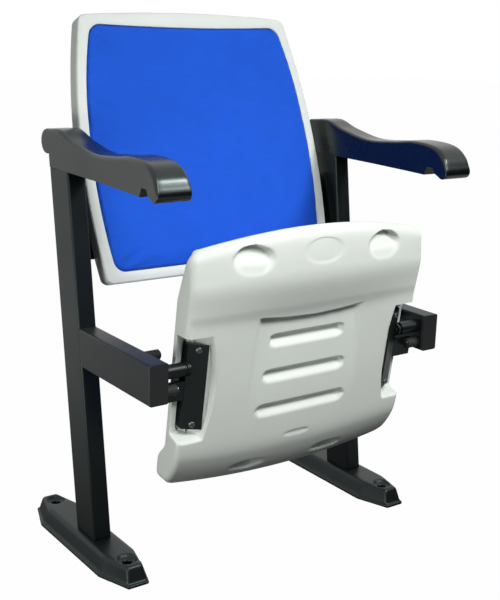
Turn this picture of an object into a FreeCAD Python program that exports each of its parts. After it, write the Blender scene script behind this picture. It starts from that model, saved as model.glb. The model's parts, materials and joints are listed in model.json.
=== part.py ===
import FreeCAD, Part
import math
import os
import re

import Sketcher
from FreeCAD import Placement, Rotation, Vector

# Tip-up stadium seat: two leaning steel side frames with moulded armrests, a reclined padded back
# and a moulded seat that swings between them. The seat faces -Y and Z is up. X, left and right are as
# seen from the front, so left is -X.
# The origin lies on the floor, midway between the four floor bolts.

# Driving dimensions: name, value in millimetres or degrees, meaning
SIZES = [
    ("frame_pitch", 520, "side frame to side frame, centre to centre"),
    ("tube_width", 30, "frame tube, across"),
    ("tube_depth", 60, "frame tube, front to back"),
    ("tube_wall", 2, "frame tube wall"),
    ("tube_corner", 3, "outer rounding of the frame tube"),
    ("post_lean", 7.75, "backward lean of the posts, degrees"),
    ("post_front", -46, "front face of the post where it stands on the foot"),
    ("post_top", 600, "height of the post's top end"),
    ("arm_top", 365, "height of the seat arm's top face"),
    ("arm_end", -214, "front end of the seat arm"),
    ("cap_plate", 3, "plate thickness of the arm's end cap"),
    ("cap_plug", 7, "length of the end cap's plug inside the tube"),
    ("cap_clearance", 0.3, "gap round the end cap's plug"),
    ("foot_length", 320, "foot, front to back"),
    ("foot_width", 76, "foot, across the rim"),
    ("foot_end_width", 36, "foot, across its blunt ends"),
    ("foot_taper", 58, "length over which the foot's ends narrow"),
    ("foot_height", 30, "height of the foot's crown"),
    ("foot_rim", 5, "thickness of the flat rim"),
    ("foot_ledge", 4, "width of the flat rim"),
    ("foot_slope", 9, "how far the crown's sides lean in"),
    ("foot_miter", 0.4, "share of an inset that moves the foot's slanted corners"),
    ("foot_wall", 4, "plate thickness of the foot"),
    ("foot_round", 7, "rounding of the crown's edge"),
    ("hole_spacing", 246, "floor bolt to floor bolt along a foot"),
    ("hole_diameter", 14, "floor bolt hole"),
    ("boss_diameter", 38, "column round a floor bolt hole"),
    ("bolt_recess", 5, "depth of the bolt head's recess"),
    ("recess_diameter", 30, "diameter of the bolt head's recess"),
    ("bar_width", 20, "armrest carrier bar, across"),
    ("bar_height", 6, "armrest carrier bar, thickness"),
    ("bar_front", -192, "front end of the armrest carrier bar"),
    ("bar_clearance", 0.3, "gap round the carrier bar in the armrest"),
    ("rest_screw_front", -165, "front armrest screw"),
    ("rest_screw_rear", -70, "rear armrest screw"),
    ("screw_shank", 5, "shank of the wood-thread screws"),
    ("screw_head", 10, "head of the wood-thread screws"),
    ("screw_head_height", 3, "head height of the wood-thread screws"),
    ("screw_length", 14, "shank length of the wood-thread screws"),
    ("screw_clearance", 0.2, "gap round a screw's shank"),
    ("rest_nose", -250, "front of the armrest's rolled nose"),
    ("rest_nose_width", 54, "armrest across its nose"),
    ("rest_crown_front", 647, "top of the armrest near its nose"),
    ("rest_dip", 637, "lowest part of the armrest's top"),
    ("rest_crown_rear", 660, "top of the armrest over the post"),
    ("rest_scroll", 121, "rear tip of the armrest"),
    ("rest_round", 4, "rounding of the armrest's long edges"),
    ("back_bottom", 425, "height of the back's lower edge"),
    ("back_front", 7, "front of the back's rim at its lower edge"),
    ("back_recline", 18.3, "recline of the back, degrees"),
    ("back_length", 431, "back, along its slope"),
    ("back_gap", 16, "gap between the back at its widest and an arm's inner face"),
    ("back_low_taper", 10, "narrowing of the back's half width towards its lower edge"),
    ("back_top_taper", 33, "narrowing of the back's half width towards its top corners"),
    ("back_shoulder_taper", 4, "narrowing of the back's half width at its shoulders"),
    ("back_side_bow", 3, "outward bow of the sides above the shoulders"),
    ("back_wide_at", 150, "where the back is widest, along its slope"),
    ("back_shoulder", 250, "where the back starts to narrow, along its slope"),
    ("back_top_bow", 7, "rise of the back's top edge in its middle"),
    ("back_depth", 30, "thickness of the back shell"),
    ("back_corner", 11, "corner rounding of the back"),
    ("back_edge", 9, "rounding of the back shell's rear edge"),
    ("back_rim", 15, "width of the shell's rim beside the pad"),
    ("back_rim_top", 24, "width of the shell's rim above the middle of the pad"),
    ("pad_top_sag", 4, "sag of the pad's top edge in its middle"),
    ("back_tray", 14, "depth of the pad's tray in the back shell"),
    ("back_panel", 4, "depth of the sunk panel behind the back"),
    ("back_panel_border", 46, "border left round the sunk panel"),
    ("board_thickness", 6, "plywood board under a pad"),
    ("pad_clearance", 0.5, "gap round a pad in its tray"),
    ("back_pad_proud", 7, "how far the back pad stands out of its rim"),
    ("pad_round", 6, "rounding of a pad's front edge"),
    ("pad_corner", 17, "corner rounding of a pad"),
    ("bracket_wall", 4, "plate thickness of the back brackets"),
    ("back_bracket_low", 45, "lower end of the back bracket, along the slope"),
    ("back_bracket_high", 150, "upper end of the back bracket, along the slope"),
    ("back_bracket_reach", 186, "inner end of the back bracket, from the middle"),
    ("back_bracket_depth", 28, "depth of the back bracket's leg on the post"),
    ("back_bolt_offset", 203, "back bolts, from the middle"),
    ("back_bolt_margin", 20, "back bolts, from the bracket's ends"),
    ("bolt_shank", 8, "shank of the back bolts"),
    ("bolt_head", 13, "head of the back bolts, across flats"),
    ("bolt_head_height", 5.5, "head height of the back bolts"),
    ("bolt_length", 12, "length of the back bolts in the shell"),
    ("pivot_front", -193, "seat pivot, front to back"),
    ("pivot_height", 344, "seat pivot, above the floor"),
    ("seat_tilt", 7.6, "forward tilt of the raised seat, degrees"),
    ("seat_travel", 80, "swing from raised to in use, degrees"),
    ("seat_side_front", 6, "front corners of the seat, past its brackets"),
    ("seat_side_rear", 16, "rear corners of the seat, past its brackets"),
    ("seat_front_corner", 172, "front corners, ahead of the pivot"),
    ("seat_front", 205, "middle of the front lip, ahead of the pivot"),
    ("seat_rear_corner", 189, "rear corners, behind the pivot"),
    ("seat_rear", 204, "middle of the rear edge, behind the pivot"),
    ("seat_corner", 16, "corner rounding of the seat"),
    ("seat_under", 22, "underside of the seat, below the pivot"),
    ("seat_slope_start", 60, "where the panel starts to rise, behind the pivot"),
    ("slope_bend", 3, "rise of the panel at the middle of its slope"),
    ("slope_bend_at", 10, "middle of that slope, ahead of the pivot"),
    ("tail_length", 80, "turned-up tail of the underside, front to back"),
    ("tail_bend", 7, "rise of the tail at the middle of its curve"),
    ("tail_bend_at", 33, "middle of that curve, ahead of the rear edge"),
    ("tail_edge", 10, "lower end of the tail, above the pivot"),
    ("edge_past", 3, "how far the seat's curves run past its front and rear edges"),
    ("seat_panel", 15, "underside at the front of the panel, below the pivot"),
    ("seat_step", 68, "step between panel and lip, ahead of the pivot"),
    ("seat_step_depth", 7, "height of that step"),
    ("seat_lip", 31, "lowest part of the front lip, below the pivot"),
    ("lip_belly", 2, "rise of the lip's belly at the middle of its curve"),
    ("lip_belly_at", 60, "middle of that curve, ahead of the step"),
    ("lip_low_at", 40, "lowest part of the lip, behind its edge"),
    ("lip_roll", 7, "rise of the lip's roll at the middle of its curve"),
    ("lip_roll_at", 8, "middle of that roll, behind the lip's edge"),
    ("lip_end", 8, "lower side of the lip's edge, below the pivot"),
    ("lip_top", 5, "upper side of the lip's edge, below the pivot"),
    ("fall_start", 5, "start of the top's fall to the lip, ahead of the step"),
    ("fall_bend", 9, "drop of that fall at the middle of its curve"),
    ("fall_bend_at", 55, "middle of that curve, behind the lip's edge"),
    ("seat_rim", 21, "top of the seat's rim, above the pivot"),
    ("seat_rear_rim", 37, "top of the rear rim, above the pivot"),
    ("rear_edge", 14, "upper end of the rear side, above the pivot"),
    ("rear_bend", 8, "drop of the rear rim at the middle of its rear curve"),
    ("rear_bend_at", 15, "middle of that curve, ahead of the rear edge"),
    ("rear_top_at", 32, "top of the rear rim, ahead of the rear edge"),
    ("rear_fall", 5, "height of the rear rim's fall at its middle, above the rim"),
    ("rear_fall_at", 52, "middle of that fall, ahead of the rear edge"),
    ("rear_foot_at", 76, "foot of the rear rim, ahead of the rear edge"),
    ("seat_flank", 24, "rounding of the seat's lower side edges"),
    ("flank_out", 8, "lower side edges, past the front corners"),
    ("lip_crown", 30, "rise of the lip's lower face from its middle to the front corners"),
    ("crown_share", 0.9, "share of the crown at the middle of the lip's belly"),
    ("crown_reach", 1.2, "reach of the crown's arcs, as a share of the half width"),
    ("tray_floor", 4, "floor of the seat pad's tray, above the pivot"),
    ("tray_border", 24, "rim beside the seat pad"),
    ("tray_front", 140, "front of the seat pad's tray, ahead of the pivot"),
    ("tray_rear", 172, "rear of the seat pad's tray, behind the pivot"),
    ("tray_front_bow", 28, "bow of the tray's front edge"),
    ("tray_rear_bow", 12, "bow of the tray's rear edge"),
    ("seat_pad_top", 46, "top of the seat pad, above the pivot"),
    ("slot_height", 15, "width of a louvre in the underside"),
    ("slot_depth", 11, "depth of a louvre at its front edge"),
    ("slot_spacing", 56, "louvre to louvre"),
    ("slot_first", 27, "front louvre, ahead of the pivot"),
    ("slot_half_length", 63, "half length of the front louvre, without its round ends"),
    ("slot_growth", 6, "growth of the half length from louvre to louvre"),
    ("grip_offset", 122, "finger grips, from the middle"),
    ("grip_front", 168, "finger grips, ahead of the pivot"),
    ("grip_half_width", 33, "half width of a finger grip"),
    ("grip_half_height", 19, "half height of a finger grip"),
    ("grip_depth", 13, "depth of a finger grip"),
    ("thumb_offset", 78, "rear thumb notches, from the middle"),
    ("thumb_half_width", 36, "half width of a thumb notch"),
    ("thumb_half_height", 12, "half height of a thumb notch"),
    ("thumb_margin", 17, "thumb notches, ahead of the rear edge"),
    ("thumb_low", 6, "middle of a thumb notch, below the pivot"),
    ("pocket_bow", 10, "bow of the pocket's inner side"),
    ("pocket_margin", 15, "pocket length past the bracket's ends"),
    ("pocket_fit", 0.3, "gap between the bracket's wing and the shell"),
    ("pocket_side", 3, "gap between the bracket's wing and the shell's side wall"),
    ("pocket_roof", 17, "roof over the bracket's wing, above the pivot"),
    ("window_roof", 13, "top of the side wall's window round the hinge, above the pivot"),
    ("window_margin", 3, "window past the spring barrel and the stop bar"),
    ("cut_past", 20, "how far a cut runs past the shell"),
    ("hinge_gap", 42, "gap between a seat bracket and its arm"),
    ("bracket_width", 27, "flange of the seat bracket, across"),
    ("bracket_rise", 14, "rise of the flange from its inner edge to the wing"),
    ("bracket_plate", 3, "plate thickness of the seat bracket"),
    ("bracket_face", 14, "inner edge of the bracket's flange, below the pivot"),
    ("bracket_wing", 16, "upper edge of the bracket's side wing, above the pivot"),
    ("bracket_ahead", 37, "front end of the seat bracket, ahead of the pivot"),
    ("bracket_behind", 97, "rear end of the seat bracket, behind the pivot"),
    ("bracket_ear", 10.5, "radius of the bracket's ear round the pivot"),
    ("bracket_screw_margin", 8, "bracket screws, from the bracket's ends"),
    ("bracket_screw_length", 10, "shank length of the bracket screws"),
    ("pivot_journal", 10, "diameter of the pivot's journal"),
    ("journal_chamfer", 1, "chamfer at the journal's tip"),
    ("pivot_thread", 10, "diameter of the stud's threaded end in the arm"),
    ("thread_past", 2, "thread past the pivot nut"),
    ("running_gap", 0.05, "running clearance of the pivot, radial"),
    ("bush_outer", 14, "outer diameter of the nylon bush"),
    ("bush_fit", 0.02, "gap round the pressed bush"),
    ("bush_flange", 19, "flange diameter of the nylon bush"),
    ("bush_flange_height", 1.5, "flange thickness of the nylon bush"),
    ("side_gap", 0.4, "gap between turning and standing faces"),
    ("pivot_core", 12.6, "diameter of the pivot stud inside the spring"),
    ("barrel_outer", 21, "outer diameter of the spring barrel"),
    ("barrel_wall", 1.2, "wall of the spring barrel"),
    ("barrel_gap", 4, "gap between the barrel and the bush"),
    ("spring_wire", 1.8, "wire of the return spring"),
    ("spring_mean", 15, "mean diameter of the return spring"),
    ("spring_turns", 5, "turns of the return spring"),
    ("spring_end", 4, "spring's ends, from the ends of the barrel"),
    ("nut_flats", 16, "pivot nut, across flats"),
    ("nut_height", 8, "pivot nut, height"),
    ("washer_outer", 19, "pivot washer, diameter"),
    ("washer_height", 1.5, "pivot washer, thickness"),
    ("stud_diameter", 8, "stop stud diameter"),
    ("stud_head", 12, "stop stud head diameter"),
    ("stud_head_height", 2, "stop stud head thickness"),
    ("stud_length", 24, "length of the stop studs"),
    ("buffer_outer", 16, "rubber buffer diameter"),
    ("buffer_fit", 0.05, "gap between buffer and stud"),
    ("stop_gap", 0.3, "gap between a buffer and the stop bar at a limit"),
    ("stop_bar_front", 0.5, "front face of the stop bar, above the pivot"),
    ("stop_bar_thick", 5, "stop bar thickness"),
    ("stop_bar_start", 20, "near end of the stop bar, behind the pivot"),
    ("stop_bar_end", 50, "far end of the stop bar, behind the pivot"),
    ("stop_bar_gap", 4, "gap between the stop bar and the arm"),
    ("stop_upright_at", 26, "upright stop, behind the pivot"),
    ("stop_use_at", 44, "stop in use, behind the pivot"),
]

# Sizes that follow from the driving ones: name, formula, meaning
DERIVED = [
    ("arm_face", "frame_pitch / 2 - tube_width / 2", "inner face of an arm, from the middle"),
    ("back_half_wide", "arm_face - back_gap", "half width of the back at its widest"),
    ("back_half_low", "back_half_wide - back_low_taper", "half width of the back at its lower edge"),
    ("back_half_top", "back_half_wide - back_top_taper", "half width of the back at its top corners"),
    ("bracket_outer", "arm_face - hinge_gap", "outer face of the seat bracket, from the middle"),
    ("bracket_inner", "bracket_outer - bracket_width", "inner edge of the seat bracket, from the middle"),
    ("bracket_slope", "atan(bracket_rise / bracket_width)", "slope of the bracket's flange"),
    ("bracket_fold", "bracket_rise - bracket_face", "outer edge of the flange, above the pivot"),
    ("seat_half_front", "bracket_outer + seat_side_front", "half width of the seat at its front corners"),
    ("seat_half_rear", "bracket_outer + seat_side_rear", "half width of the seat at its rear corners"),
    ("stud_end", "arm_face - stud_length", "inner end of the stop studs, from the middle"),
    ("stop_bar_outer", "arm_face - stop_bar_gap", "outer end of the stop bar, from the middle"),
]

os.makedirs("parts", exist_ok=True)
doc = FreeCAD.newDocument("stadium_seat")
sheet = doc.addObject("Spreadsheet::Sheet", "size")
cells = [(alias, str(number), meaning) for alias, number, meaning in SIZES]
cells += [(alias, f"={text}", meaning) for alias, text, meaning in DERIVED]
for row, (alias, content, meaning) in enumerate(cells, start=1):
    sheet.set(f"A{row}", meaning)
    sheet.set(f"B{row}", content)
    sheet.setAlias(f"B{row}", alias)
doc.recompute()

ALIASES = {alias for alias, content, meaning in cells}
SIDES = {"left": -1, "right": 1}
sub_parts = []


def formula(text):
    """Put the sheet's name before every alias in a formula."""
    return re.sub(r"[a-z]\w*", lambda word: f"size.{word[0]}" if word[0] in ALIASES else word[0], text)


def value(text):
    """Work out a formula of sheet values as a number."""
    return float(sheet.evalExpression(formula(text)))


def bind(feature, name, text):
    """Tie one property of a feature to a formula of sheet values."""
    feature.setExpression(name, formula(text))


def new_body(label):
    """Start a sub-part that is built from sketches."""
    body = doc.addObject("PartDesign::Body", label)
    body.Label = label
    sub_parts.append(body)
    return body


def place(item, x="0", y="0", z="0", turn=None):
    """Bind a sub-part's place, and its turn about the X axis, to formulas."""
    for axis, text in zip("xyz", (x, y, z)):
        bind(item, f"Placement.Base.{axis}", text)
    if turn is not None:
        item.Placement = Placement(item.Placement.Base, Rotation(Vector(1, 0, 0), value(turn)))
        bind(item, "Placement.Rotation.Angle", turn)


def new_sketch(body, name, plane, offset=None):
    """Attach an empty sketch to one of the body's own planes, moved along that plane's normal."""
    sketch = body.newObject("Sketcher::SketchObject", name)
    support = next(item for item in body.Origin.OriginFeatures if item.Role == plane)
    sketch.AttachmentSupport = (support, [""])
    sketch.MapMode = "FlatFace"
    if offset is not None:
        bind(sketch, "AttachmentOffset.Base.z", offset)
    return sketch


def pin_point(sketch, shape, end, x, y):
    """Hold one point of the sketch at formulas for its two coordinates."""
    for kind, text in (("DistanceX", x), ("DistanceY", y)):
        index = sketch.addConstraint(Sketcher.Constraint(kind, -1, 1, shape, end, value(text)))
        sketch.setExpression(f"Constraints[{index}]", formula(text))


def draw_outline(sketch, corners):
    """Draw a closed outline. A corner is (x, y); (x, y, via_x, via_y) bends the edge after it."""
    points = [Vector(value(corner[0]), value(corner[1]), 0) for corner in corners]
    starts = []
    for corner, start, end in zip(corners, points, points[1:] + points[:1]):
        if len(corner) == 2:
            starts.append((sketch.addGeometry(Part.LineSegment(start, end), False), 1))
            continue
        via = Vector(value(corner[2]), value(corner[3]), 0)
        arc = sketch.addGeometry(Part.Arc(start, via, end), False)
        first, last = (sketch.getPoint(arc, end).distanceToPoint(start) for end in (1, 2))
        starts.append((arc, 1 if first < last else 2))
        marker = sketch.addGeometry(Part.Point(via), True)
        pin_point(sketch, marker, 1, corner[2], corner[3])
        sketch.addConstraint(Sketcher.Constraint("PointOnObject", marker, 1, arc))
    for corner, (shape, start), (following, begin) in zip(corners, starts, starts[1:] + starts[:1]):
        sketch.addConstraint(Sketcher.Constraint("Coincident", shape, 3 - start, following, begin))
        pin_point(sketch, shape, start, corner[0], corner[1])


def draw_circle(sketch, x, y, diameter):
    """Draw a circle at formulas for its centre and diameter."""
    centre = Vector(value(x), value(y), 0)
    circle = sketch.addGeometry(Part.Circle(centre, Vector(0, 0, 1), value(diameter) / 2), False)
    pin_point(sketch, circle, 3, x, y)
    index = sketch.addConstraint(Sketcher.Constraint("Diameter", circle, value(diameter)))
    sketch.setExpression(f"Constraints[{index}]", formula(diameter))


def extrude(body, kind, sketch, length, symmetric=False, backwards=False):
    """Add a Pad or a Pocket of the given length to the body, and see that it changes the volume."""
    before = body.Shape.Volume if body.Tip else 0.0
    feature = body.newObject(f"PartDesign::{kind}", f"{sketch.Name}_{kind.lower()}")
    feature.Profile = sketch
    feature.SideType = "Symmetric" if symmetric else "One side"
    feature.Reversed = backwards
    bind(feature, "Length", length)
    doc.recompute()
    after = body.Shape.Volume
    if (after - before) * (1 if kind == "Pad" else -1) < 1e-3:
        raise RuntimeError(f"{feature.Name} did not change {body.Label}: {before} to {after}")
    return feature


def round_edges(body, radius, wanted):
    """Round the edges of the body's newest feature for which the test says yes."""
    base = body.Tip
    names = [f"Edge{number}" for number, edge in enumerate(base.Shape.Edges, start=1) if wanted(edge)]
    if not names:
        raise RuntimeError(f"no edge to round on {body.Label}")
    fillet = body.newObject("PartDesign::Fillet", f"{base.Name}_round")
    fillet.Base = (base, names)
    bind(fillet, "Radius", radius)
    doc.recompute()


def turned(label, x_sign, profile, centre=("0", "0")):
    """Turn a profile of (distance from the middle, radius) corners about an axis along X."""
    body = new_body(label)
    sketch = new_sketch(body, f"{label}_profile", "XY_Plane")
    draw_outline(sketch, [(f"{x_sign} * ({x})", radius) for x, radius in profile])
    turn = body.newObject("PartDesign::Revolution", f"{label}_turn")
    turn.Profile = sketch
    turn.ReferenceAxis = (sketch, ["H_Axis"])
    turn.Angle = 360
    place(body, "0", *centre)
    doc.recompute()


def grouped(label, solids):
    """Keep several like solids as one sub-part."""
    group = doc.addObject("Part::Feature", label)
    group.Label = label
    group.Shape = Part.makeCompound(solids)
    sub_parts.append(group)


def along(edge, axis):
    """Say whether a straight edge runs along the given direction."""
    ends = [vertex.Point for vertex in edge.Vertexes]
    return len(ends) == 2 and abs((ends[1] - ends[0]).normalize().dot(axis)) > 0.999


# Feet: a pressed plate with a raised crown, a flat rim and two bolt columns
def foot_outline(inset):
    """Long octagon of the foot, drawn in by a formula."""
    wide = f"(foot_width / 2 - ({inset}))"
    blunt = f"(foot_end_width / 2 - foot_miter * ({inset}))"
    long = f"(foot_length / 2 - ({inset}))"
    taper = f"(foot_length / 2 - foot_taper - foot_miter * ({inset}))"
    half = [(wide, taper), (blunt, long), (f"-{blunt}", long), (f"-{wide}", taper)]
    return half + [(f"-{x}" if x[0] == "(" else x[1:], f"-{y}") for x, y in half]


def make_foot(side, sign):
    body = new_body(f"{side}_foot")
    name = body.Name
    rim = new_sketch(body, f"{name}_rim", "XY_Plane")
    draw_outline(rim, foot_outline("0"))
    extrude(body, "Pad", rim, "foot_rim")
    low = new_sketch(body, f"{name}_crown_low", "XY_Plane", "foot_rim")
    draw_outline(low, foot_outline("foot_ledge"))
    high = new_sketch(body, f"{name}_crown_high", "XY_Plane", "foot_height")
    draw_outline(high, foot_outline("foot_ledge + foot_slope"))
    crown = body.newObject("PartDesign::AdditiveLoft", f"{name}_crown")
    crown.Profile = low
    crown.Sections = [high]
    doc.recompute()
    top = value("foot_height")
    round_edges(body, "foot_round", lambda edge: edge.BoundBox.ZMin > top - 0.01)
    under = new_sketch(body, f"{name}_hollow_low", "XY_Plane")
    draw_outline(under, foot_outline("foot_ledge + foot_wall"))
    ceiling = new_sketch(body, f"{name}_hollow_high", "XY_Plane", "foot_height - foot_wall")
    draw_outline(ceiling, foot_outline("foot_ledge + foot_slope + foot_wall"))
    hollow = body.newObject("PartDesign::SubtractiveLoft", f"{name}_hollow")
    hollow.Profile = under
    hollow.Sections = [ceiling]
    doc.recompute()
    for end, way in (("front", "-"), ("rear", "")):
        spot = f"{way}hole_spacing / 2"
        column = new_sketch(body, f"{name}_{end}_column", "XY_Plane")
        draw_circle(column, "0", spot, "boss_diameter")
        extrude(body, "Pad", column, "foot_height - foot_wall")
        seat = new_sketch(body, f"{name}_{end}_recess", "XY_Plane", "foot_height")
        draw_circle(seat, "0", spot, "recess_diameter")
        extrude(body, "Pocket", seat, "bolt_recess")
        bore = new_sketch(body, f"{name}_{end}_bore", "XY_Plane", "foot_height")
        draw_circle(bore, "0", spot, "hole_diameter")
        extrude(body, "Pocket", bore, "foot_height * 2")
    place(body, f"{sign} * frame_pitch / 2")


def post_face(height):
    """Front face of the leaning post at a height, as a formula."""
    return f"(post_front + (({height}) - foot_height) * tan(post_lean))"


# Posts, seat arms and end caps: rectangular steel tube, open inside
def make_tube(label, sign, outline, bore, run):
    """Steel tube from its side outline, with rounded long edges and a bore of the tube's wall."""
    body = new_body(label)
    sketch = new_sketch(body, f"{label}_side", "YZ_Plane")
    draw_outline(sketch, outline)
    extrude(body, "Pad", sketch, "tube_width", symmetric=True)
    round_edges(body, "tube_corner", lambda edge: along(edge, run))
    inside = new_sketch(body, f"{label}_bore", "YZ_Plane")
    draw_outline(inside, bore)
    extrude(body, "Pocket", inside, "tube_width - 2 * tube_wall", symmetric=True)
    place(body, f"{sign} * frame_pitch / 2")
    return body


def leaning_outline(low, high, front, rear):
    """Side outline between two heights that follows the post, set in from its faces by two formulas."""
    return [
        (f"{post_face(low)} + ({front}) / cos(post_lean)", low),
        (f"{post_face(low)} + ({rear}) / cos(post_lean)", low),
        (f"{post_face(high)} + ({rear}) / cos(post_lean)", high),
        (f"{post_face(high)} + ({front}) / cos(post_lean)", high),
    ]


def make_post(side, sign):
    outside = leaning_outline("foot_height", "post_top", "0", "tube_depth")
    past = "tube_wall * 2"
    inside = leaning_outline(
        f"foot_height - {past}", f"post_top + {past}", "tube_wall", "tube_depth - tube_wall"
    )
    lean = math.radians(value("post_lean"))
    make_tube(f"{side}_post", sign, outside, inside, Vector(0, math.sin(lean), math.cos(lean)))


def make_arm(side, sign):
    low = "(arm_top - tube_depth)"
    front = "(arm_end + cap_plate)"
    outside = [(front, low), (post_face(low), low), (post_face("arm_top"), "arm_top"), (front, "arm_top")]
    ceiling = "(arm_top - tube_wall)"
    floor = "(arm_top - tube_depth + tube_wall)"
    reach = "(post_front + tube_depth * 2)"
    start = "(arm_end - tube_wall)"
    inside = [(start, floor), (reach, floor), (reach, ceiling), (start, ceiling)]
    body = make_tube(f"{side}_arm", sign, outside, inside, Vector(0, 1, 0))
    hole = new_sketch(body, f"{side}_arm_hole", "YZ_Plane", f"{-sign} * tube_width / 2")
    draw_circle(hole, "pivot_front", "pivot_height", "pivot_thread + 2 * screw_clearance")
    extrude(body, "Pocket", hole, "tube_wall * 3", symmetric=True)


def make_end_cap(side, sign):
    """Plate over the arm's end with a plug inside the tube."""
    body = new_body(f"{side}_arm_end_cap")
    name = body.Name
    half = "(tube_width / 2)"
    low = "(arm_top - tube_depth)"
    plate = new_sketch(body, f"{name}_plate", "XZ_Plane", "-(arm_end + cap_plate)")
    draw_outline(plate, [(f"-{half}", low), (half, low), (half, "arm_top"), (f"-{half}", "arm_top")])
    extrude(body, "Pad", plate, "cap_plate")
    round_edges(body, "tube_corner", lambda edge: along(edge, Vector(0, 1, 0)))
    inset = "(tube_wall + cap_clearance)"
    plug = new_sketch(body, f"{name}_plug", "XZ_Plane", "-(arm_end + cap_plate)")
    draw_outline(plug, [
        (f"-{half} + {inset}", f"{low} + {inset}"), (f"{half} - {inset}", f"{low} + {inset}"),
        (f"{half} - {inset}", f"arm_top - {inset}"), (f"-{half} + {inset}", f"arm_top - {inset}"),
    ])
    extrude(body, "Pad", plug, "cap_plug", backwards=True)
    place(body, f"{sign} * frame_pitch / 2")


# Armrests: a moulded wave on a steel carrier bar
def make_carrier_bar(side, sign):
    body = new_body(f"{side}_armrest_bar")
    name = body.Name
    flat = new_sketch(body, f"{name}_plan", "XY_Plane", "post_top")
    half = "bar_width / 2"
    rear = f"{post_face('post_top')} + tube_depth / cos(post_lean)"
    draw_outline(flat, [
        (f"-{half}", rear), (f"-{half}", "bar_front + bar_width / 2", "0", "bar_front"),
        (half, "bar_front + bar_width / 2"), (half, rear),
    ])
    extrude(body, "Pad", flat, "bar_height")
    holes = new_sketch(body, f"{name}_holes", "XY_Plane", "post_top + bar_height")
    for spot in ("rest_screw_front", "rest_screw_rear"):
        draw_circle(holes, "0", spot, "screw_shank + 2 * screw_clearance")
    extrude(body, "Pocket", holes, "bar_height * 2")
    place(body, f"{sign} * frame_pitch / 2")


def make_armrest(side, sign):
    """Side wave padded to the nose's width, its flanks cut to flare, its long edges rounded."""
    body = new_body(f"{side}_armrest")
    name = body.Name
    wave = new_sketch(body, f"{name}_wave", "YZ_Plane")
    rear_foot = f"({post_face('post_top')} + tube_depth / cos(post_lean))"
    draw_outline(wave, [
        ("rest_nose + 50", "post_top"),
        (rear_foot, "post_top"),
        (f"{rear_foot} + 3", "post_top + 21", "rest_scroll", "post_top + 37"),
        ("rest_scroll - 19", "rest_crown_rear - 2", "rest_scroll - 55", "rest_crown_rear"),
        ("rest_scroll - 103", "rest_dip + 9", "rest_scroll - 166", "rest_dip"),
        ("rest_scroll - 231", "rest_dip + 4", "rest_nose + 84", "rest_crown_front"),
        ("rest_nose + 34", "rest_crown_front - 4", "rest_nose + 9", "rest_crown_front - 17"),
        ("rest_nose", "post_top + 10", "rest_nose + 2", "post_top - 1"),
        ("rest_nose + 12", "post_top - 6"),
        ("rest_nose + 28", "post_top + 1"),
        ("rest_nose + 33", "post_top + 9"),
        ("rest_nose + 46", "post_top + 9"),
    ])
    extrude(body, "Pad", wave, "rest_nose_width", symmetric=True)
    flare = new_sketch(body, f"{name}_flare", "XY_Plane", "post_top - tube_depth")
    tip = "rest_nose_width / 2"
    far = "rest_nose_width"
    for way in ("", "-"):
        draw_outline(flare, [
            (f"{way}({tip})", "rest_nose - 20"),
            (f"{way}({tip})", "rest_nose", f"{way}(tube_width / 2 + 4)", "rest_nose + 110"),
            (f"{way}(tube_width / 2)", "-20"),
            (f"{way}(tube_width / 2)", "rest_scroll + 20"),
            (f"{way}({far})", "rest_scroll + 20"),
            (f"{way}({far})", "rest_nose - 20"),
        ])
    extrude(body, "Pocket", flare, "tube_depth * 3", backwards=True)
    base = value("post_top") + value("bar_height")
    short = value("rest_round") * 3
    round_edges(body, "rest_round", lambda edge: edge.BoundBox.ZMin > base and edge.BoundBox.YLength > short)
    slot = new_sketch(body, f"{name}_slot", "XY_Plane", "post_top")
    half = "(bar_width / 2 + bar_clearance)"
    draw_outline(slot, [
        (f"-{half}", "rest_scroll + 20"), (f"-{half}", "rest_nose + 46"),
        (half, "rest_nose + 46"), (half, "rest_scroll + 20"),
    ])
    extrude(body, "Pocket", slot, "bar_height", backwards=True)
    pilots = new_sketch(body, f"{name}_pilots", "XY_Plane", "post_top + bar_height")
    for spot in ("rest_screw_front", "rest_screw_rear"):
        draw_circle(pilots, "0", spot, "screw_shank + 2 * screw_clearance")
    extrude(body, "Pocket", pilots, "screw_length + screw_clearance", backwards=True)
    place(body, f"{sign} * frame_pitch / 2")


def screw_solid(length):
    """Pan-head screw along +Z, its head's bearing face at the origin."""
    shank = Part.makeCylinder(value("screw_shank") / 2, value(length))
    head = Part.makeCone(value("screw_head") / 2 - 1, value("screw_head") / 2, value("screw_head_height"))
    head.translate(Vector(0, 0, -value("screw_head_height")))
    return shank.fuse(head).removeSplitter()


def hex_solid(flats, height):
    """Hexagonal prism along +Z from the origin."""
    corner = flats / math.sqrt(3)
    ring = [Vector(corner * math.cos(turn), corner * math.sin(turn), 0)
            for turn in (math.radians(60 * step) for step in range(6))]
    return Part.Face(Part.makePolygon(ring + ring[:1])).extrude(Vector(0, 0, height))


def placed(solid, position, turn=Rotation()):
    """Copy of a solid at a place."""
    copy = solid.copy()
    copy.Placement = Placement(position, turn)
    return copy


def make_armrest_screws():
    solids = []
    for sign in SIDES.values():
        for spot in ("rest_screw_front", "rest_screw_rear"):
            middle = sign * value("frame_pitch") / 2
            solids.append(placed(screw_solid("screw_length"), Vector(middle, value(spot), value("post_top"))))
    grouped("armrest_screws", solids)


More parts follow.
